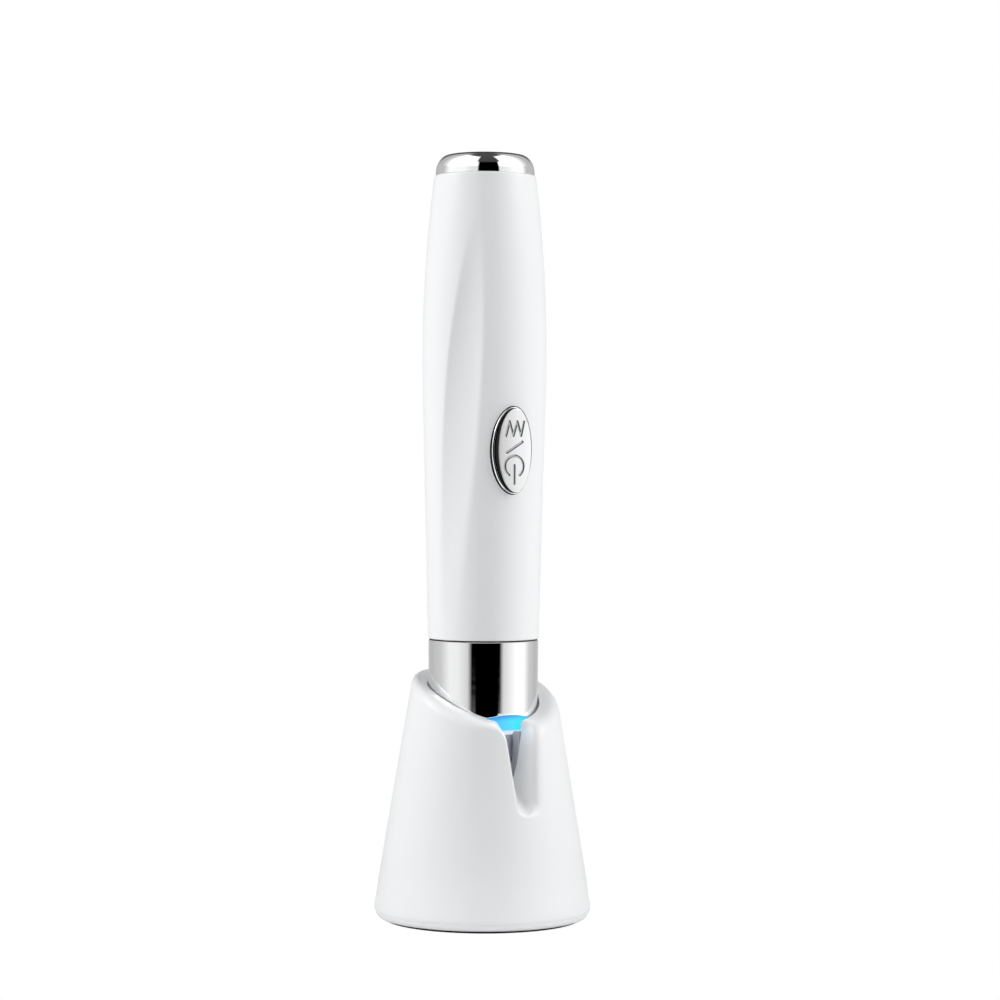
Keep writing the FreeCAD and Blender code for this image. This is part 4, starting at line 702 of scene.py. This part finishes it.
def away_from_opening(edge, radius_at):
    """Unit steps, as (angle, height), square to an edge and away from the opening."""
    radii = radius_at(edge[:, 1])
    wrapped = np.vstack([edge[-1] - (TURN, 0), edge, edge[0] + (TURN, 0)])
    along = wrapped[2:] - wrapped[:-2]
    flat_x = along[:, 0] * radii
    distance = np.hypot(flat_x, along[:, 1])
    return np.stack([along[:, 1] / distance / radii, -flat_x / distance], axis=-1)


def bend(start, corner, end, steps):
    """Rounding between two points round a corner, as a blend that is close to an arc."""
    shares = np.linspace(0, 1, steps + 1)[:, None, None]
    fullness = 0.8
    weights = (1 - shares) ** 2, 2 * fullness * shares * (1 - shares), shares ** 2
    return (start * weights[0] + corner * weights[1] + end * weights[2]) / sum(weights)


class WAND_OT_dock_shell(bpy.types.Operator):
    """Build the dock's white cone with its slanted rim, flared notch and port window"""
    bl_idname = "wand.dock_shell"
    bl_label = "Dock shell"

    def execute(self, context):
        dock = context.scene.wand_dock
        bore = COLLAR_RADIUS + dock.socket_gap
        sleeve = bore + dock.wall
        # Steps along the notch's tip, its side, its flare and the rim
        counts = (14, 26, 18, 120)
        notch_end = counts[0] + counts[1]

        # The notch's floor falls outwards from the bore to the cone
        foot = dock.notch_foot
        for _ in range(SETTLE):
            foot = dock.notch_foot - (cone_radius(foot) - bore) * math.tan(dock.notch_fall)
        channel = channel_side(foot, dock.notch_half, dock.notch_spread, counts[0])
        slit = slit_side(dock.slit_foot, dock.slit_width, counts[0])
        outer = opening_edge(cone_radius, dock.rim_height + dock.rim_rise, *channel, dock.notch_flare, counts)
        inner = opening_edge(socket_radius, dock.rim_height, *slit, dock.slit_flare, counts)
        count = len(outer)

        # The rounding is wide along the rim and the notch's right side, and narrow along its left side
        rounding_steps = 12
        lip_steps = 6
        rim_fade = counts[2] + 14
        slit_share = 0.6
        offset = np.arange(count) - (count - 1) / 2
        place = np.abs(offset)
        right = ease((offset - 2) / counts[0])
        rim = ease((place - notch_end) / rim_fade)
        width = dock.notch_round + (dock.notch_soft - dock.notch_round) * right
        width += (dock.rim_round - width) * rim
        mouth = dock.mouth_round * (slit_share + (1 - slit_share) * rim)
        skin = outer + away_from_opening(outer, cone_radius) * width[:, None]
        lining = inner + away_from_opening(inner, socket_radius) * mouth[:, None]
        corner_out = on_skin(outer, cone_radius)
        corner_in = on_skin(inner, socket_radius)
        across = corner_in - corner_out
        across /= np.linalg.norm(across, axis=1)[:, None]
        rounding = bend(on_skin(skin, cone_radius), corner_out, corner_out + across * width[:, None],
                        rounding_steps)
        lip = bend(corner_in - across * mouth[:, None], corner_in, on_skin(lining, socket_radius), lip_steps)

        # The land between both roundings is hollow beside the notch's left edge
        land_steps = 8
        dip_flatness = 0.8
        inwards = on_round(outer[:, 0], 0.0, -1.0)
        hollow = dock.notch_dip * (1 - rim) * (1 - right) * np.clip((notch_end - place) / counts[1], 0, 1)
        land = []
        for share in np.arange(1, land_steps) / land_steps:
            dip = hollow * math.sin(math.pi * share) ** dip_flatness
            land.append(rounding[-1] + (lip[0] - rounding[-1]) * share + inwards * dip[:, None])

        # The wall is a fan of lines on the cone, which spread evenly round the foot
        steps = np.linalg.norm(np.diff(corner_out, axis=0, append=corner_out[:1]), axis=1)
        run = np.concatenate([[0], np.cumsum(steps)[:-1]])
        foot_angle = -math.pi + TURN * (run + steps[0] / 2) / steps.sum()
        foot_angle = (foot_angle - foot_angle[::-1]) / 2

        def fan(top, foot_height, radius_at, rows, first=0):
            crowding = 1.4
            levels = []
            for row in range(first, rows):
                share = 1 - (1 - row / rows) ** crowding
                angle = foot_angle + (top[:, 0] - foot_angle) * share
                height = foot_height + (top[:, 1] - foot_height) * share
                levels.append(on_round(angle, height, radius_at(height)))
            return levels

        def hoop(radius, height):
            return on_round(foot_angle, height, radius)

        sleeve_foot = CUP_FOOT + 1.6
        cavity_top = CUP_FOOT + 4.6
        skirt_top = SEAM + dock.skirt
        within = DOCK_RADIUS - dock.wall
        inside = [hoop(sleeve, sleeve_foot), hoop(sleeve, cavity_top),
                  hoop(cone_radius(cavity_top) - dock.wall, cavity_top), hoop(within, skirt_top),
                  hoop(within, SEAM)]
        seam_edge = 0.12
        first_rise = 0.12
        skirt_steps = 6
        skirt = [hoop(DOCK_RADIUS - dock.skirt_inset - seam_edge, SEAM)]
        for rise in first_rise + (1 - first_rise) * np.arange(skirt_steps + 1) / skirt_steps:
            skirt.append(hoop(DOCK_RADIUS - dock.skirt_inset * (1 - rise) ** 2, SEAM + dock.skirt * rise))
        lining_rows = 24
        skin_rows = 44
        levels = [*rounding, *land, *lip, *fan(lining, sleeve_foot, socket_radius, lining_rows)[::-1],
                  *inside, *skirt, *fan(skin, skirt_top, cone_radius, skin_rows, 1)]
        piece = new_piece("dock_cone", *skin_over(levels), "dock", "white_gloss", "dock_shell")

        # The port's window, and a wider recess round its mouth
        window_gap = 0.17
        window_depth = 4
        recess = 1.2
        half_high = (PORT_HIGH - PORT_LOW) / 2
        for gap, depth in ((window_gap, PORT_MOUTH - window_depth), (recess, PORT_MOUTH)):
            carve(piece, port_outline(PORT_HALF + gap, half_high + gap), depth, DOCK_RADIUS + dock.wall)
        return {"FINISHED"}


# ---------------------------------------------------------------- handle

def handle_radius(height):
    """Handle's outside without its flute: a taper that runs into a round belly."""
    handle = bpy.context.scene.wand_handle
    belly = HANDLE_END - handle.belly_drop
    swell = BELLY_RADIUS - handle.tail_radius
    arc = (handle.belly_drop ** 2 + swell ** 2) / (2 * swell)
    low = belly - handle.belly_tail
    if height >= low:
        return BELLY_RADIUS - arc + math.sqrt(arc ** 2 - (height - belly) ** 2)
    low_radius = BELLY_RADIUS - arc + math.sqrt(arc ** 2 - handle.belly_tail ** 2)
    return handle.foot_radius + (low_radius - handle.foot_radius) * (height - HANDLE_FOOT) / (low - HANDLE_FOOT)


def flute_at(height):
    """Turned angle, half width and hollow of the grip flute at a height."""
    handle = bpy.context.scene.wand_handle
    share = (HANDLE_END - handle.flute_drop - height) / handle.flute_length
    share = min(max(share, 0), 1)
    swell = math.sin(math.pi * share ** 0.85)
    angle = -handle.flute_angle - handle.flute_twist * share
    return angle, handle.flute_half * swell ** 0.75, handle.flute_hollow * (swell * (1 - share)) ** 2


def fluted_radius(height, turned):
    """Radii of the handle at turned angles, counted from the middle of the flute."""
    thinnest = 0.05
    left_edge = 0.16
    right_edge = 0.26
    # The edges grow crisper where the flute is narrower than this, and it ends well inside the sector
    full_half = 1.5
    sector = math.radians(60)
    radius = handle_radius(height)
    half, hollow = flute_at(height)[1:]
    if half < thinnest:
        return np.full(len(turned), radius)
    floor = math.sqrt(radius ** 2 - half ** 2)
    near = np.abs(turned) < sector
    safe = np.where(near, turned, 0)
    across = radius * np.sin(safe)
    for _ in range(3):
        depth = floor - hollow * (1 - (across / half) ** 2)
        reach = depth / np.cos(safe)
        across = reach * np.sin(safe)
    softness = np.where(turned < 0, left_edge, right_edge) * min(1.0, half / full_half)
    return np.where(near, soft_minimum(radius, reach, softness), radius)


class WAND_OT_handle(bpy.types.Operator):
    """Build the white handle with its twisted flute and the button's oval seat"""
    bl_idname = "wand.handle"
    bl_label = "Handle"

    def execute(self, context):
        handle = context.scene.wand_handle
        button = context.scene.wand_button
        # Closer together over the flute than round the rest of the handle
        fine_half = math.radians(24)
        fine_step = math.radians(0.4)
        coarse_count = 130
        rows = 190
        lining_rows = 24
        turned = np.concatenate([np.arange(-fine_half, fine_half, fine_step),
                                 np.linspace(fine_half, TURN - fine_half, coarse_count)[:-1]])
        signed = np.where(turned > math.pi, turned - TURN, turned)
        edge = handle.edge
        end = HANDLE_END - handle.cap_sink
        edge_steps = [edge * (1 - math.cos(turn)) for turn in quarter_turn(4)[:-1]]
        heights = [HANDLE_FOOT + rise for rise in edge_steps]
        heights += list(np.linspace(HANDLE_FOOT + edge, end - edge, rows))
        heights += [end - rise for rise in edge_steps[::-1]]
        levels = []
        for height in heights:
            low = min(height - HANDLE_FOOT, end - height, edge)
            pull = edge - math.sqrt(max(edge ** 2 - (edge - low) ** 2, 0))
            levels.append(on_round(turned + flute_at(height)[0], height, fluted_radius(height, signed) - pull))
        top_angle = flute_at(end)[0]
        foot_angle = flute_at(HANDLE_FOOT)[0]
        for height in np.linspace(end, HANDLE_FOOT, lining_rows):
            share = (end - height) / (end - HANDLE_FOOT)
            angle = turned + top_angle + (foot_angle - top_angle) * share
            levels.append(on_round(angle, height, handle_radius(height) - handle.wall))
        piece = new_piece("handle_barrel", *skin_over(levels), "wand", "white_gloss", "handle_shell")
        reach = BELLY_RADIUS + handle.wall
        seat = -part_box("button_gasket")[1].y / MM
        carve(piece, oval_outline(*button.seat), -seat, -reach)
        carve(piece, oval_outline(*button.bore), 0, -reach)
        return {"FINISHED"}


# ---------------------------------------------------------------- button

def stroke_distance(x, z, start, end):
    """Distance from points to a straight stroke."""
    start = np.array(start)
    along = np.array(end) - start
    share = np.clip(((x - start[0]) * along[0] + (z - start[1]) * along[1]) / (along @ along), 0, 1)
    return np.hypot(x - start[0] - along[0] * share, z - start[1] - along[1] * share)


def mark_distance(x, z):
    """Distance to the nearest engraved mark: a zigzag wave, a slash and a power sign."""
    wave = [(-2.2, 3.0), (-1.45, 5.9), (-0.55, 3.0), (0.35, 5.9), (1.25, 3.0), (1.95, 5.9)]
    slash = [(-2.1, -0.5), (1.6, 1.75)]
    ring_x, ring_z = -0.3, -3.3
    ring_radius = 2.15
    gap_half = math.radians(34)
    bar = [(ring_x, ring_z + 0.2), (ring_x, -6.8)]
    strokes = [stroke_distance(x, z, *ends) for ends in (*zip(wave, wave[1:]), slash, bar)]
    across = x - ring_x
    up = z - ring_z
    angle = np.arctan2(across, -up)
    held = np.where(angle < 0, -1, 1) * np.maximum(np.abs(angle), gap_half)
    strokes.append(np.hypot(across - ring_radius * np.sin(held), up + ring_radius * np.cos(held)))
    return np.minimum.reduce(strokes)


class WAND_OT_button(bpy.types.Operator):
    """Build the chrome bezel and the button with its black side and engraved silver plate; the side's extra
    dark, dull finish is painted shade for the gap round the button
    """
    bl_idname = "wand.button"
    bl_label = "Button and bezel"

    def execute(self, context):
        button = context.scene.wand_button
        self.bezel(button)

        # The button's oval is drawn by its angle, and grows square to its own outline
        wide = button.bore[0] - button.play - button.flare
        tall = button.bore[1] - button.play
        angles = TURN * np.arange(512) / 512
        normal = np.stack([tall * np.sin(angles), wide * np.cos(angles)], axis=-1)
        normal /= np.linalg.norm(normal, axis=1)[:, None]

        def place(x, sink, z):
            return np.stack(np.broadcast_arrays(x, sink - BUTTON_FACE, BUTTON_MIDDLE + z), axis=-1)

        def crown(x):
            return button.crown - np.sqrt(button.crown ** 2 - x ** 2)

        def oval(growth, sink, crowned=True, flare=0):
            x = (wide + flare) * np.sin(angles) + normal[:, 0] * growth
            return place(x, sink + (crown(x) if crowned else 0), tall * np.cos(angles) + normal[:, 1] * growth)

        # Silver plate in oval rings, with the marks sunk into it
        mark_slope = 0.15
        rings = 130
        rim_height = 0.25
        rim_inset = 0.15
        levels = []
        for share in np.arange(1, rings + 1) / rings:
            x = (wide - button.round) * share * np.sin(angles)
            z = (tall - button.round) * share * np.cos(angles)
            sunk = button.mark_depth * ease((button.mark_width / 2 - mark_distance(x, z)) / mark_slope)
            levels.append(place(x, sunk + crown(x), z))
        for turn in quarter_turn(5, 1):
            levels.append(oval(-button.round * (1 - math.sin(turn)), button.round * (1 - math.cos(turn))))
        levels += [oval(0, rim_height), oval(-rim_inset, rim_height), oval(-rim_inset, button.plate)]
        middle = (0, -BUTTON_FACE, BUTTON_MIDDLE)
        new_piece("button_plate", *skin_over(levels, middle), "button", "chrome", "mode_button", "silver")

        # Black side that flares to the bezel, a stem and a flange behind the handle's wall. The side is black
        # plastic, made darker and duller than the black case as painted shade of the gap between button and
        # bezel
        fine = 0.02
        flange = 0.5
        flange_face = BUTTON_FACE - 9.7
        flange_back = BUTTON_FACE - BUTTON_BACK
        flare_foot = BUTTON_FACE - BEZEL_FACE + 0.9
        levels = [oval(-0.6, button.plate + fine), oval(0, rim_height + fine)]
        levels += [oval(growth, sink, False, button.flare) for growth, sink in (
            (0, flare_foot), (0, flange_face), (flange, flange_face), (flange, flange_back))]
        new_piece("button_side", *skin_over(levels, capped=True), "button", "black_plastic", "mode_button",
                  "button_side")
        return {"FINISHED"}

    def bezel(self, button):
        """Chrome band between two ovals, which follows the handle's round."""
        deep = -0.75
        outer_round = 0.2
        inner_round = 0.1
        width = button.band[0] - button.bore[0]
        # Corners of the section, as shares of the way inwards and lifts
        section = [(0, deep)]
        section += [(outer_round / width * (1 - math.cos(turn)), -outer_round * (1 - math.sin(turn)))
                    for turn in quarter_turn(8)]
        section += [(1 - inner_round / width * (1 - math.sin(turn)), -inner_round * (1 - math.cos(turn)))
                    for turn in quarter_turn(4)]
        section.append((1, deep))
        angles = TURN * np.arange(256) / 256
        levels = []
        for share, lift in section:
            x = (button.band[0] + (button.bore[0] - button.band[0]) * share) * np.sin(angles)
            z = (button.band[1] + (button.bore[1] - button.band[1]) * share) * np.cos(angles)
            levels.append(np.stack([x, -np.sqrt(BEZEL_FACE ** 2 - x ** 2) - lift, BUTTON_MIDDLE + z], axis=-1))
        new_piece("bezel_band", *skin_over(levels), "wand", "chrome", "button_bezel")


# ---------------------------------------------------------------- turned pieces

class WAND_OT_trims(bpy.types.Operator):
    """Build the chrome cap and collar, the gasket line, the lit ring and a glowing band under it that paints
    the ring's reflection on the head
    """
    bl_idname = "wand.trims"
    bl_label = "Cap, collar and lit ring"

    def execute(self, context):
        handle = context.scene.wand_handle
        gasket_bore = handle.foot_radius - handle.wall - 0.05
        gasket_edge = GASKET_RADIUS - 0.15
        gasket = [(gasket_bore, GASKET_FOOT), (gasket_edge, GASKET_FOOT), (gasket_edge, HANDLE_FOOT),
                  (gasket_bore, HANDLE_FOOT)]
        ring_bore = 8.45
        ring = rounded_outline([(ring_bore, SHOULDER), (RING_RADIUS, SHOULDER, 0.2),
                                (RING_RADIUS, RING_TOP, 0.05), (ring_bore, RING_TOP)])
        # Glowing band round the head's neck under the lit ring: a painted reflection of the ring's light on the
        # head's top
        reflection_band_radius = HEAD_RADIUS + 0.06
        reflection_band_foot = SHOULDER - 0.85
        reflection_band_top = SHOULDER - 0.03
        pale = rounded_outline([(ring_bore, reflection_band_foot), (reflection_band_radius, reflection_band_foot),
                                (reflection_band_radius, reflection_band_top, 0.1), (ring_bore, reflection_band_top)])
        for name, outline, slot, replaced, finish in (
                ("tail_cap_chrome", self.cap_outline(handle), "chrome", "tail_cap", None),
                ("gasket_line", gasket, "dark_rubber", "collar_gasket", None),
                ("lit_ring", ring, "light_blue", "light_ring", None),
                ("pale_neck", pale, "light_blue", "light_ring", "pale_light")):
            new_piece(name, *lathe(outline), "wand", slot, replaced, finish)
        self.collar()
        return {"FINISHED"}

    def cap_outline(self, handle):
        """Chrome cap: a lip in the handle's end, an elliptical edge and a low dome."""
        radius = CAP_RADIUS - 0.15
        edge = 2.7
        edge_height = 3.8
        cap_dome = 0.55
        fine = 0.12
        steps = 16
        foot = CAP_FOOT - handle.cap_sink
        top = CAP_TOP + handle.cap_rise
        flat = radius - edge
        dome = (flat ** 2 + cap_dome ** 2) / (2 * cap_dome)
        neck = 8.25
        floor = CAP_FOOT + 2.45
        lip = handle.tail_radius - handle.wall + 0.05
        outline = [(0, floor), (neck, floor), (neck, CAP_FOOT), (lip, CAP_FOOT), (lip, foot),
                   (radius - fine, foot), (radius, foot + fine)]
        outline += [(flat + edge * math.cos(turn), top - cap_dome - edge_height * (1 - math.sin(turn)))
                    for turn in quarter_turn(steps)]
        for step in range(1, steps + 1):
            reach = flat * (1 - step / steps)
            outline.append((reach, top - dome + math.sqrt(dome ** 2 - reach ** 2)))
        return outline

    def collar(self):
        """Chrome collar whose foot covers the lit ring's upper edge in a low arch over the front."""
        arch_steepness = 8.3
        arch_drop = 1.3
        front_drop = 0.3
        foot_round = 0.3
        skirt_wall = 0.34
        skirt_top = COLLAR_FOOT + 0.2
        wall = 0.8
        fine = 0.12
        foot_radius = COLLAR_RADIUS - 0.1
        angles = TURN * np.arange(SIDES) / SIDES
        rise = arch_steepness * (1 - np.cos(angles))
        foot = COLLAR_FOOT - front_drop - arch_drop * np.tanh(rise / arch_drop)
        section = [(foot_radius - skirt_wall, COLLAR_FOOT), (foot_radius - skirt_wall, foot)]
        section += [(foot_radius - foot_round * (1 - math.sin(turn)), foot + foot_round * (1 - math.cos(turn)))
                    for turn in quarter_turn(6)]
        section += [(foot_radius + (COLLAR_RADIUS - foot_radius) * share,
                     skirt_top + (COLLAR_TOP - fine - skirt_top) * share) for share in (0, 0.5, 1)]
        section += [(COLLAR_RADIUS - fine, COLLAR_TOP), (COLLAR_RADIUS - wall, COLLAR_TOP),
                    (foot_radius - wall, COLLAR_FOOT)]
        levels = [on_round(angles, height, radius) for radius, height in section]
        new_piece("collar_chrome", *skin_over(levels), "wand", "chrome", "collar_ring")


class WAND_OT_base(bpy.types.Operator):
    """Build the dock's base plate and its rubber foot ring"""
    bl_idname = "wand.base"
    bl_label = "Base plate and foot"

    def execute(self, context):
        foot_inner = FOOT_RADIUS - 6.8
        play = 0.05
        fine = 0.08
        edge = SEAM - PLATE_FOOT
        lip_outer = DOCK_RADIUS - context.scene.wand_dock.wall - play
        lip_inner = lip_outer - 1.2
        plate = [(0, PLATE_FOOT), (foot_inner - play, PLATE_FOOT), (foot_inner - play, FOOT_TOP),
                 (FOOT_RADIUS + play, FOOT_TOP), (FOOT_RADIUS + play, PLATE_FOOT)]
        plate += [(PLATE_RADIUS - edge + edge * math.cos(turn), SEAM - edge * math.sin(turn))
                  for turn in quarter_turn(12)[::-1]]
        plate += [(PLATE_RADIUS - fine, SEAM), (lip_outer, SEAM), (lip_outer, LIP_TOP),
                  (lip_inner, LIP_TOP), (lip_inner, SEAM), (0, SEAM)]
        new_piece("base_cover", *lathe(plate), "dock", "white_gloss", "base_plate")
        ring = rounded_outline([(foot_inner, FOOT_BOTTOM, 0.15), (FOOT_RADIUS, FOOT_BOTTOM, 0.2),
                                (FOOT_RADIUS, FOOT_TOP), (foot_inner, FOOT_TOP)])
        new_piece("foot_pad", *lathe(ring), "dock", "dark_rubber", "foot_ring")
        return {"FINISHED"}


class WAND_OT_head(bpy.types.Operator):
    """Build the rounded metal head with its slanted massage face"""
    bl_idname = "wand.head"
    bl_label = "Massage head"

    def execute(self, context):
        face_reach = 5.0
        slant = math.radians(45)
        soften = 1.5
        neck_radius = 8.4
        end_rows = 48
        bar_rows = 24
        centre = HEAD_TIP + HEAD_RADIUS
        angles = TURN * np.arange(SIDES) / SIDES
        facing = np.array([0, -math.sin(slant), -math.cos(slant)])

        def surface(start, direction):
            """Points where rays leave a round-ended bar with a softly cut face."""
            low = np.zeros(len(direction))
            high = np.full(len(direction), 2 * HEAD_RADIUS)
            for _ in range(40):
                reach = (low + high) / 2
                points = start + direction * reach[:, None]
                below = points.copy()
                below[:, 2] = np.minimum(below[:, 2], 0)
                bar = np.linalg.norm(below, axis=1) - HEAD_RADIUS
                cut = points @ facing - face_reach
                is_outside = -soft_minimum(-bar, -cut, soften) > 0
                high = np.where(is_outside, reach, high)
                low = np.where(is_outside, low, reach)
            return start + direction * low[:, None]

        # Heights are counted from the centre of the round end until the piece is made
        origin = np.zeros(3)
        shoulder = SHOULDER - centre
        edge = HEAD_RADIUS - neck_radius - 0.05
        levels = [surface(origin, on_round(angles, -math.cos(polar), math.sin(polar)))
                  for polar in quarter_turn(end_rows, 1)]
        levels += [surface(np.array([0, 0, (shoulder - edge) * row / bar_rows]), on_round(angles, 0.0, 1.0))
                   for row in range(1, bar_rows + 1)]
        levels += [on_round(angles, shoulder - edge * (1 - math.sin(turn)),
                            HEAD_RADIUS - edge * (1 - math.cos(turn))) for turn in quarter_turn(6, 1)]
        levels += [on_round(angles, height, neck_radius) for height in (shoulder, NECK_TOP - centre)]
        tip = surface(origin, np.array([[0, 0, -1.0]]))[0]
        vertices, faces = skin_over(levels, tip)
        new_piece("massage_tip", vertices + (0, 0, centre), faces, "wand", "head_metal", "massage_head")
        return {"FINISHED"}


class WAND_OT_fittings(bpy.types.Operator):
    """Give every carried-over node of the construction its finish"""
    bl_idname = "wand.fittings"
    bl_label = "Inner fittings"

    def execute(self, context):
        slots = {part["node"]: part["material_slot"] for part in frame["record"]["subparts"]}
        for name, fitting in frame["nodes"].items():
            if fitting.hide_render:
                continue
            finish = finished(slots[name])
            if not fitting.material_slots:
                fitting.data.materials.append(finish)
            for place in fitting.material_slots:
                place.material = finish
        return {"FINISHED"}


# ---------------------------------------------------------------- stage

# Strength of the studio's walls by the angle round the object from the camera, in degrees, in bands
# from eye level up and down
EYE_LEVEL_WALLS = (
    (-180, 0.62), (-140, 0.5), (-100, 0.62), (-75, 0.92), (-55, 0.9), (-33, 0.68), (-24, 0.0), (35, 0.0),
    (43, 0.7), (60, 0.92), (75, 1.1), (94, 1.1), (112, 0.64), (140, 0.5), (180, 0.62))
MIDDLE_WALLS = (
    (-180, 0.3), (-152, 0.5), (-112, 0.55), (-92, 1.05), (-50, 1.0), (-30, 0.8), (-18, 0.8), (-15, 0.0),
    (31, 0.0), (34, 0.8), (60, 0.95), (78, 1.25), (94, 1.25), (112, 0.55), (152, 0.5), (180, 0.3))
BRIGHT_WALLS = (
    (-180, 0.06), (-160, 0.1), (-145, 0.5), (-128, 0.5), (-104, 0.95), (-90, 4.45), (-71, 4.45),
    (-53, 1.35), (-18, 1.15), (-15, 0.0), (31, 0.0), (34, 1.3), (53, 1.8), (71, 5.3), (90, 5.3),
    (104, 0.95), (128, 0.5), (145, 0.5), (160, 0.1), (180, 0.06))
OVERHEAD_WALLS = (
    (-180, 0.06), (-160, 0.06), (-145, 0.5), (-128, 0.5), (-104, 0.95), (-96, 2.2), (-50, 2.2),
    (-22, 1.0), (-19, 0.06), (37, 0.06), (40, 1.0), (60, 2.1), (96, 2.1), (104, 0.95), (128, 0.5),
    (145, 0.5), (160, 0.06), (180, 0.06))
# Strength of the lower bright walls against the upper ones, and of the ceiling
BELOW = 0.5
CEILING = 0.07


def bare_tree(holder):
    """Empty node tree of a new material or world."""
    holder.use_nodes = True
    holder.node_tree.nodes.clear()
    return holder.node_tree


def seen_by_camera(tree, seen, other, output):
    """Show one shader to the camera and another one to all other rays."""
    rays = node(tree, "ShaderNodeLightPath")
    shown = node(tree, "ShaderNodeMixShader", rays.outputs["Is Camera Ray"], other.outputs[0], seen.outputs[0])
    node(tree, output, Surface=shown.outputs[0])


def studio_world(plan):
    """White world for the camera, and soft side walls with a dark gap behind it for everything else."""
    world = bpy.data.worlds.new("studio")
    bpy.context.scene.world = world
    tree = bare_tree(world)
    direction = node(tree, "ShaderNodeTexCoord").outputs["Generated"]
    turned = node(tree, "ShaderNodeVectorRotate", rotation_type="Z_AXIS", Vector=direction,
                  Angle=-plan.azimuth)
    x, y, z = node(tree, "ShaderNodeSeparateXYZ", turned.outputs["Vector"]).outputs
    angle = maths(tree, "ARCTAN2", x, maths(tree, "MULTIPLY", y, -1.0))
    share = remap(tree, angle, -math.pi, math.pi, smooth=False)
    level = maths(tree, "ABSOLUTE", z)

    def walls(stops, factor=1.0):
        return ramp(tree, share, [((degrees + 180) / 360, (strength * factor,) * 3)
                                  for degrees, strength in stops])

    def blend(height, low, high, first, second):
        return mix(tree, remap(tree, height, low, high), first, second)

    # Each band blends into the next between two heights, where 0 is level and 1 is overhead
    bright = blend(z, -0.1, 0.1, walls(BRIGHT_WALLS, BELOW), walls(BRIGHT_WALLS))
    room = blend(level, 0.085, 0.11, walls(EYE_LEVEL_WALLS), walls(MIDDLE_WALLS))
    room = blend(level, 0.27, 0.36, room, bright)
    room = blend(level, 0.55, 0.68, room, walls(OVERHEAD_WALLS))
    room = blend(level, 0.9, 0.97, room, (CEILING,) * 3)
    light = node(tree, "ShaderNodeBackground", Color=room, Strength=plan.strength)
    white = node(tree, "ShaderNodeBackground", Color=(1, 1, 1), Strength=1.0)
    seen_by_camera(tree, white, light, "ShaderNodeOutputWorld")


def floor_finish():
    """Pale floor that looks white to the camera and still takes a faint shadow."""
    material = bpy.data.materials.new("pale_floor")
    tree = bare_tree(material)
    plain = node(tree, "ShaderNodeBsdfDiffuse", Color=(0.85,) * 3)
    faint = node(tree, "ShaderNodeBsdfDiffuse", Color=(0.4,) * 3)
    glow = node(tree, "ShaderNodeEmission", Strength=0.8)
    seen = node(tree, "ShaderNodeAddShader", faint.outputs[0], glow.outputs[0])
    seen_by_camera(tree, seen, plain, "ShaderNodeOutputMaterial")
    return material


class WAND_OT_stage(bpy.types.Operator):
    """Set up the pale floor, the soft studio and the camera"""
    bl_idname = "wand.stage"
    bl_label = "Stage"

    def execute(self, context):
        plan = context.scene.wand_stage
        scene = context.scene
        floor_sides = 96
        angles = [TURN * side / floor_sides for side in range(floor_sides)]
        mesh = bpy.data.meshes.new("floor")
        mesh.from_pydata([(plan.floor_radius * math.cos(angle), plan.floor_radius * math.sin(angle), 0)
                          for angle in angles], [], [tuple(range(floor_sides))])
        floor = bpy.data.objects.new("floor", mesh)
        mesh.materials.append(floor_finish())
        scene.collection.objects.link(floor)
        studio_world(plan)
        lens = bpy.data.cameras.new("camera")
        lens.sensor_width = 36
        for setting in ("lens", "shift_x", "shift_y"):
            setattr(lens, setting, getattr(plan, setting))
        camera = bpy.data.objects.new("camera", lens)
        scene.collection.objects.link(camera)
        camera.location = (math.sin(plan.azimuth) * plan.distance, -math.cos(plan.azimuth) * plan.distance,
                           plan.height)
        camera.rotation_euler = (QUARTER, -plan.roll, plan.azimuth)
        scene.camera = camera
        scene.view_settings.view_transform = "Standard"
        return {"FINISHED"}


# ---------------------------------------------------------------- panel and registration

OPERATORS = (WAND_OT_stage, WAND_OT_dock_shell, WAND_OT_base, WAND_OT_handle, WAND_OT_button,
             WAND_OT_trims, WAND_OT_head, WAND_OT_fittings)
GROUPS = {"wand_dock": DockSizes, "wand_handle": HandleSizes, "wand_button": ButtonSizes,
          "wand_colours": Colours, "wand_stage": StagePlan}


class WAND_PT_panel(bpy.types.Panel):
    """Lists the builders and their sizes"""
    bl_label = "Wand"
    bl_idname = "WAND_PT_panel"
    bl_space_type = "VIEW_3D"
    bl_region_type = "UI"
    bl_category = "Wand"

    def draw(self, context):
        for operator in OPERATORS:
            self.layout.operator(operator.bl_idname)
        for name, group in GROUPS.items():
            column = self.layout.column()
            column.label(text=group.__doc__)
            for prop in group.__annotations__:
                column.prop(getattr(context.scene, name), prop)


def register():
    for group in GROUPS.values():
        bpy.utils.register_class(group)
    for name, group in GROUPS.items():
        setattr(bpy.types.Scene, name, PointerProperty(type=group))
    for made in (*OPERATORS, WAND_PT_panel):
        bpy.utils.register_class(made)


def unregister():
    for made in (WAND_PT_panel, *reversed(OPERATORS)):
        bpy.utils.unregister_class(made)
    for name in GROUPS:
        delattr(bpy.types.Scene, name)
    for group in GROUPS.values():
        bpy.utils.unregister_class(group)


def main():
    register()
    for operator in OPERATORS:
        group, name = operator.bl_idname.split(".")
        getattr(getattr(bpy.ops, group), name)()


if __name__ == "__main__":
    main()
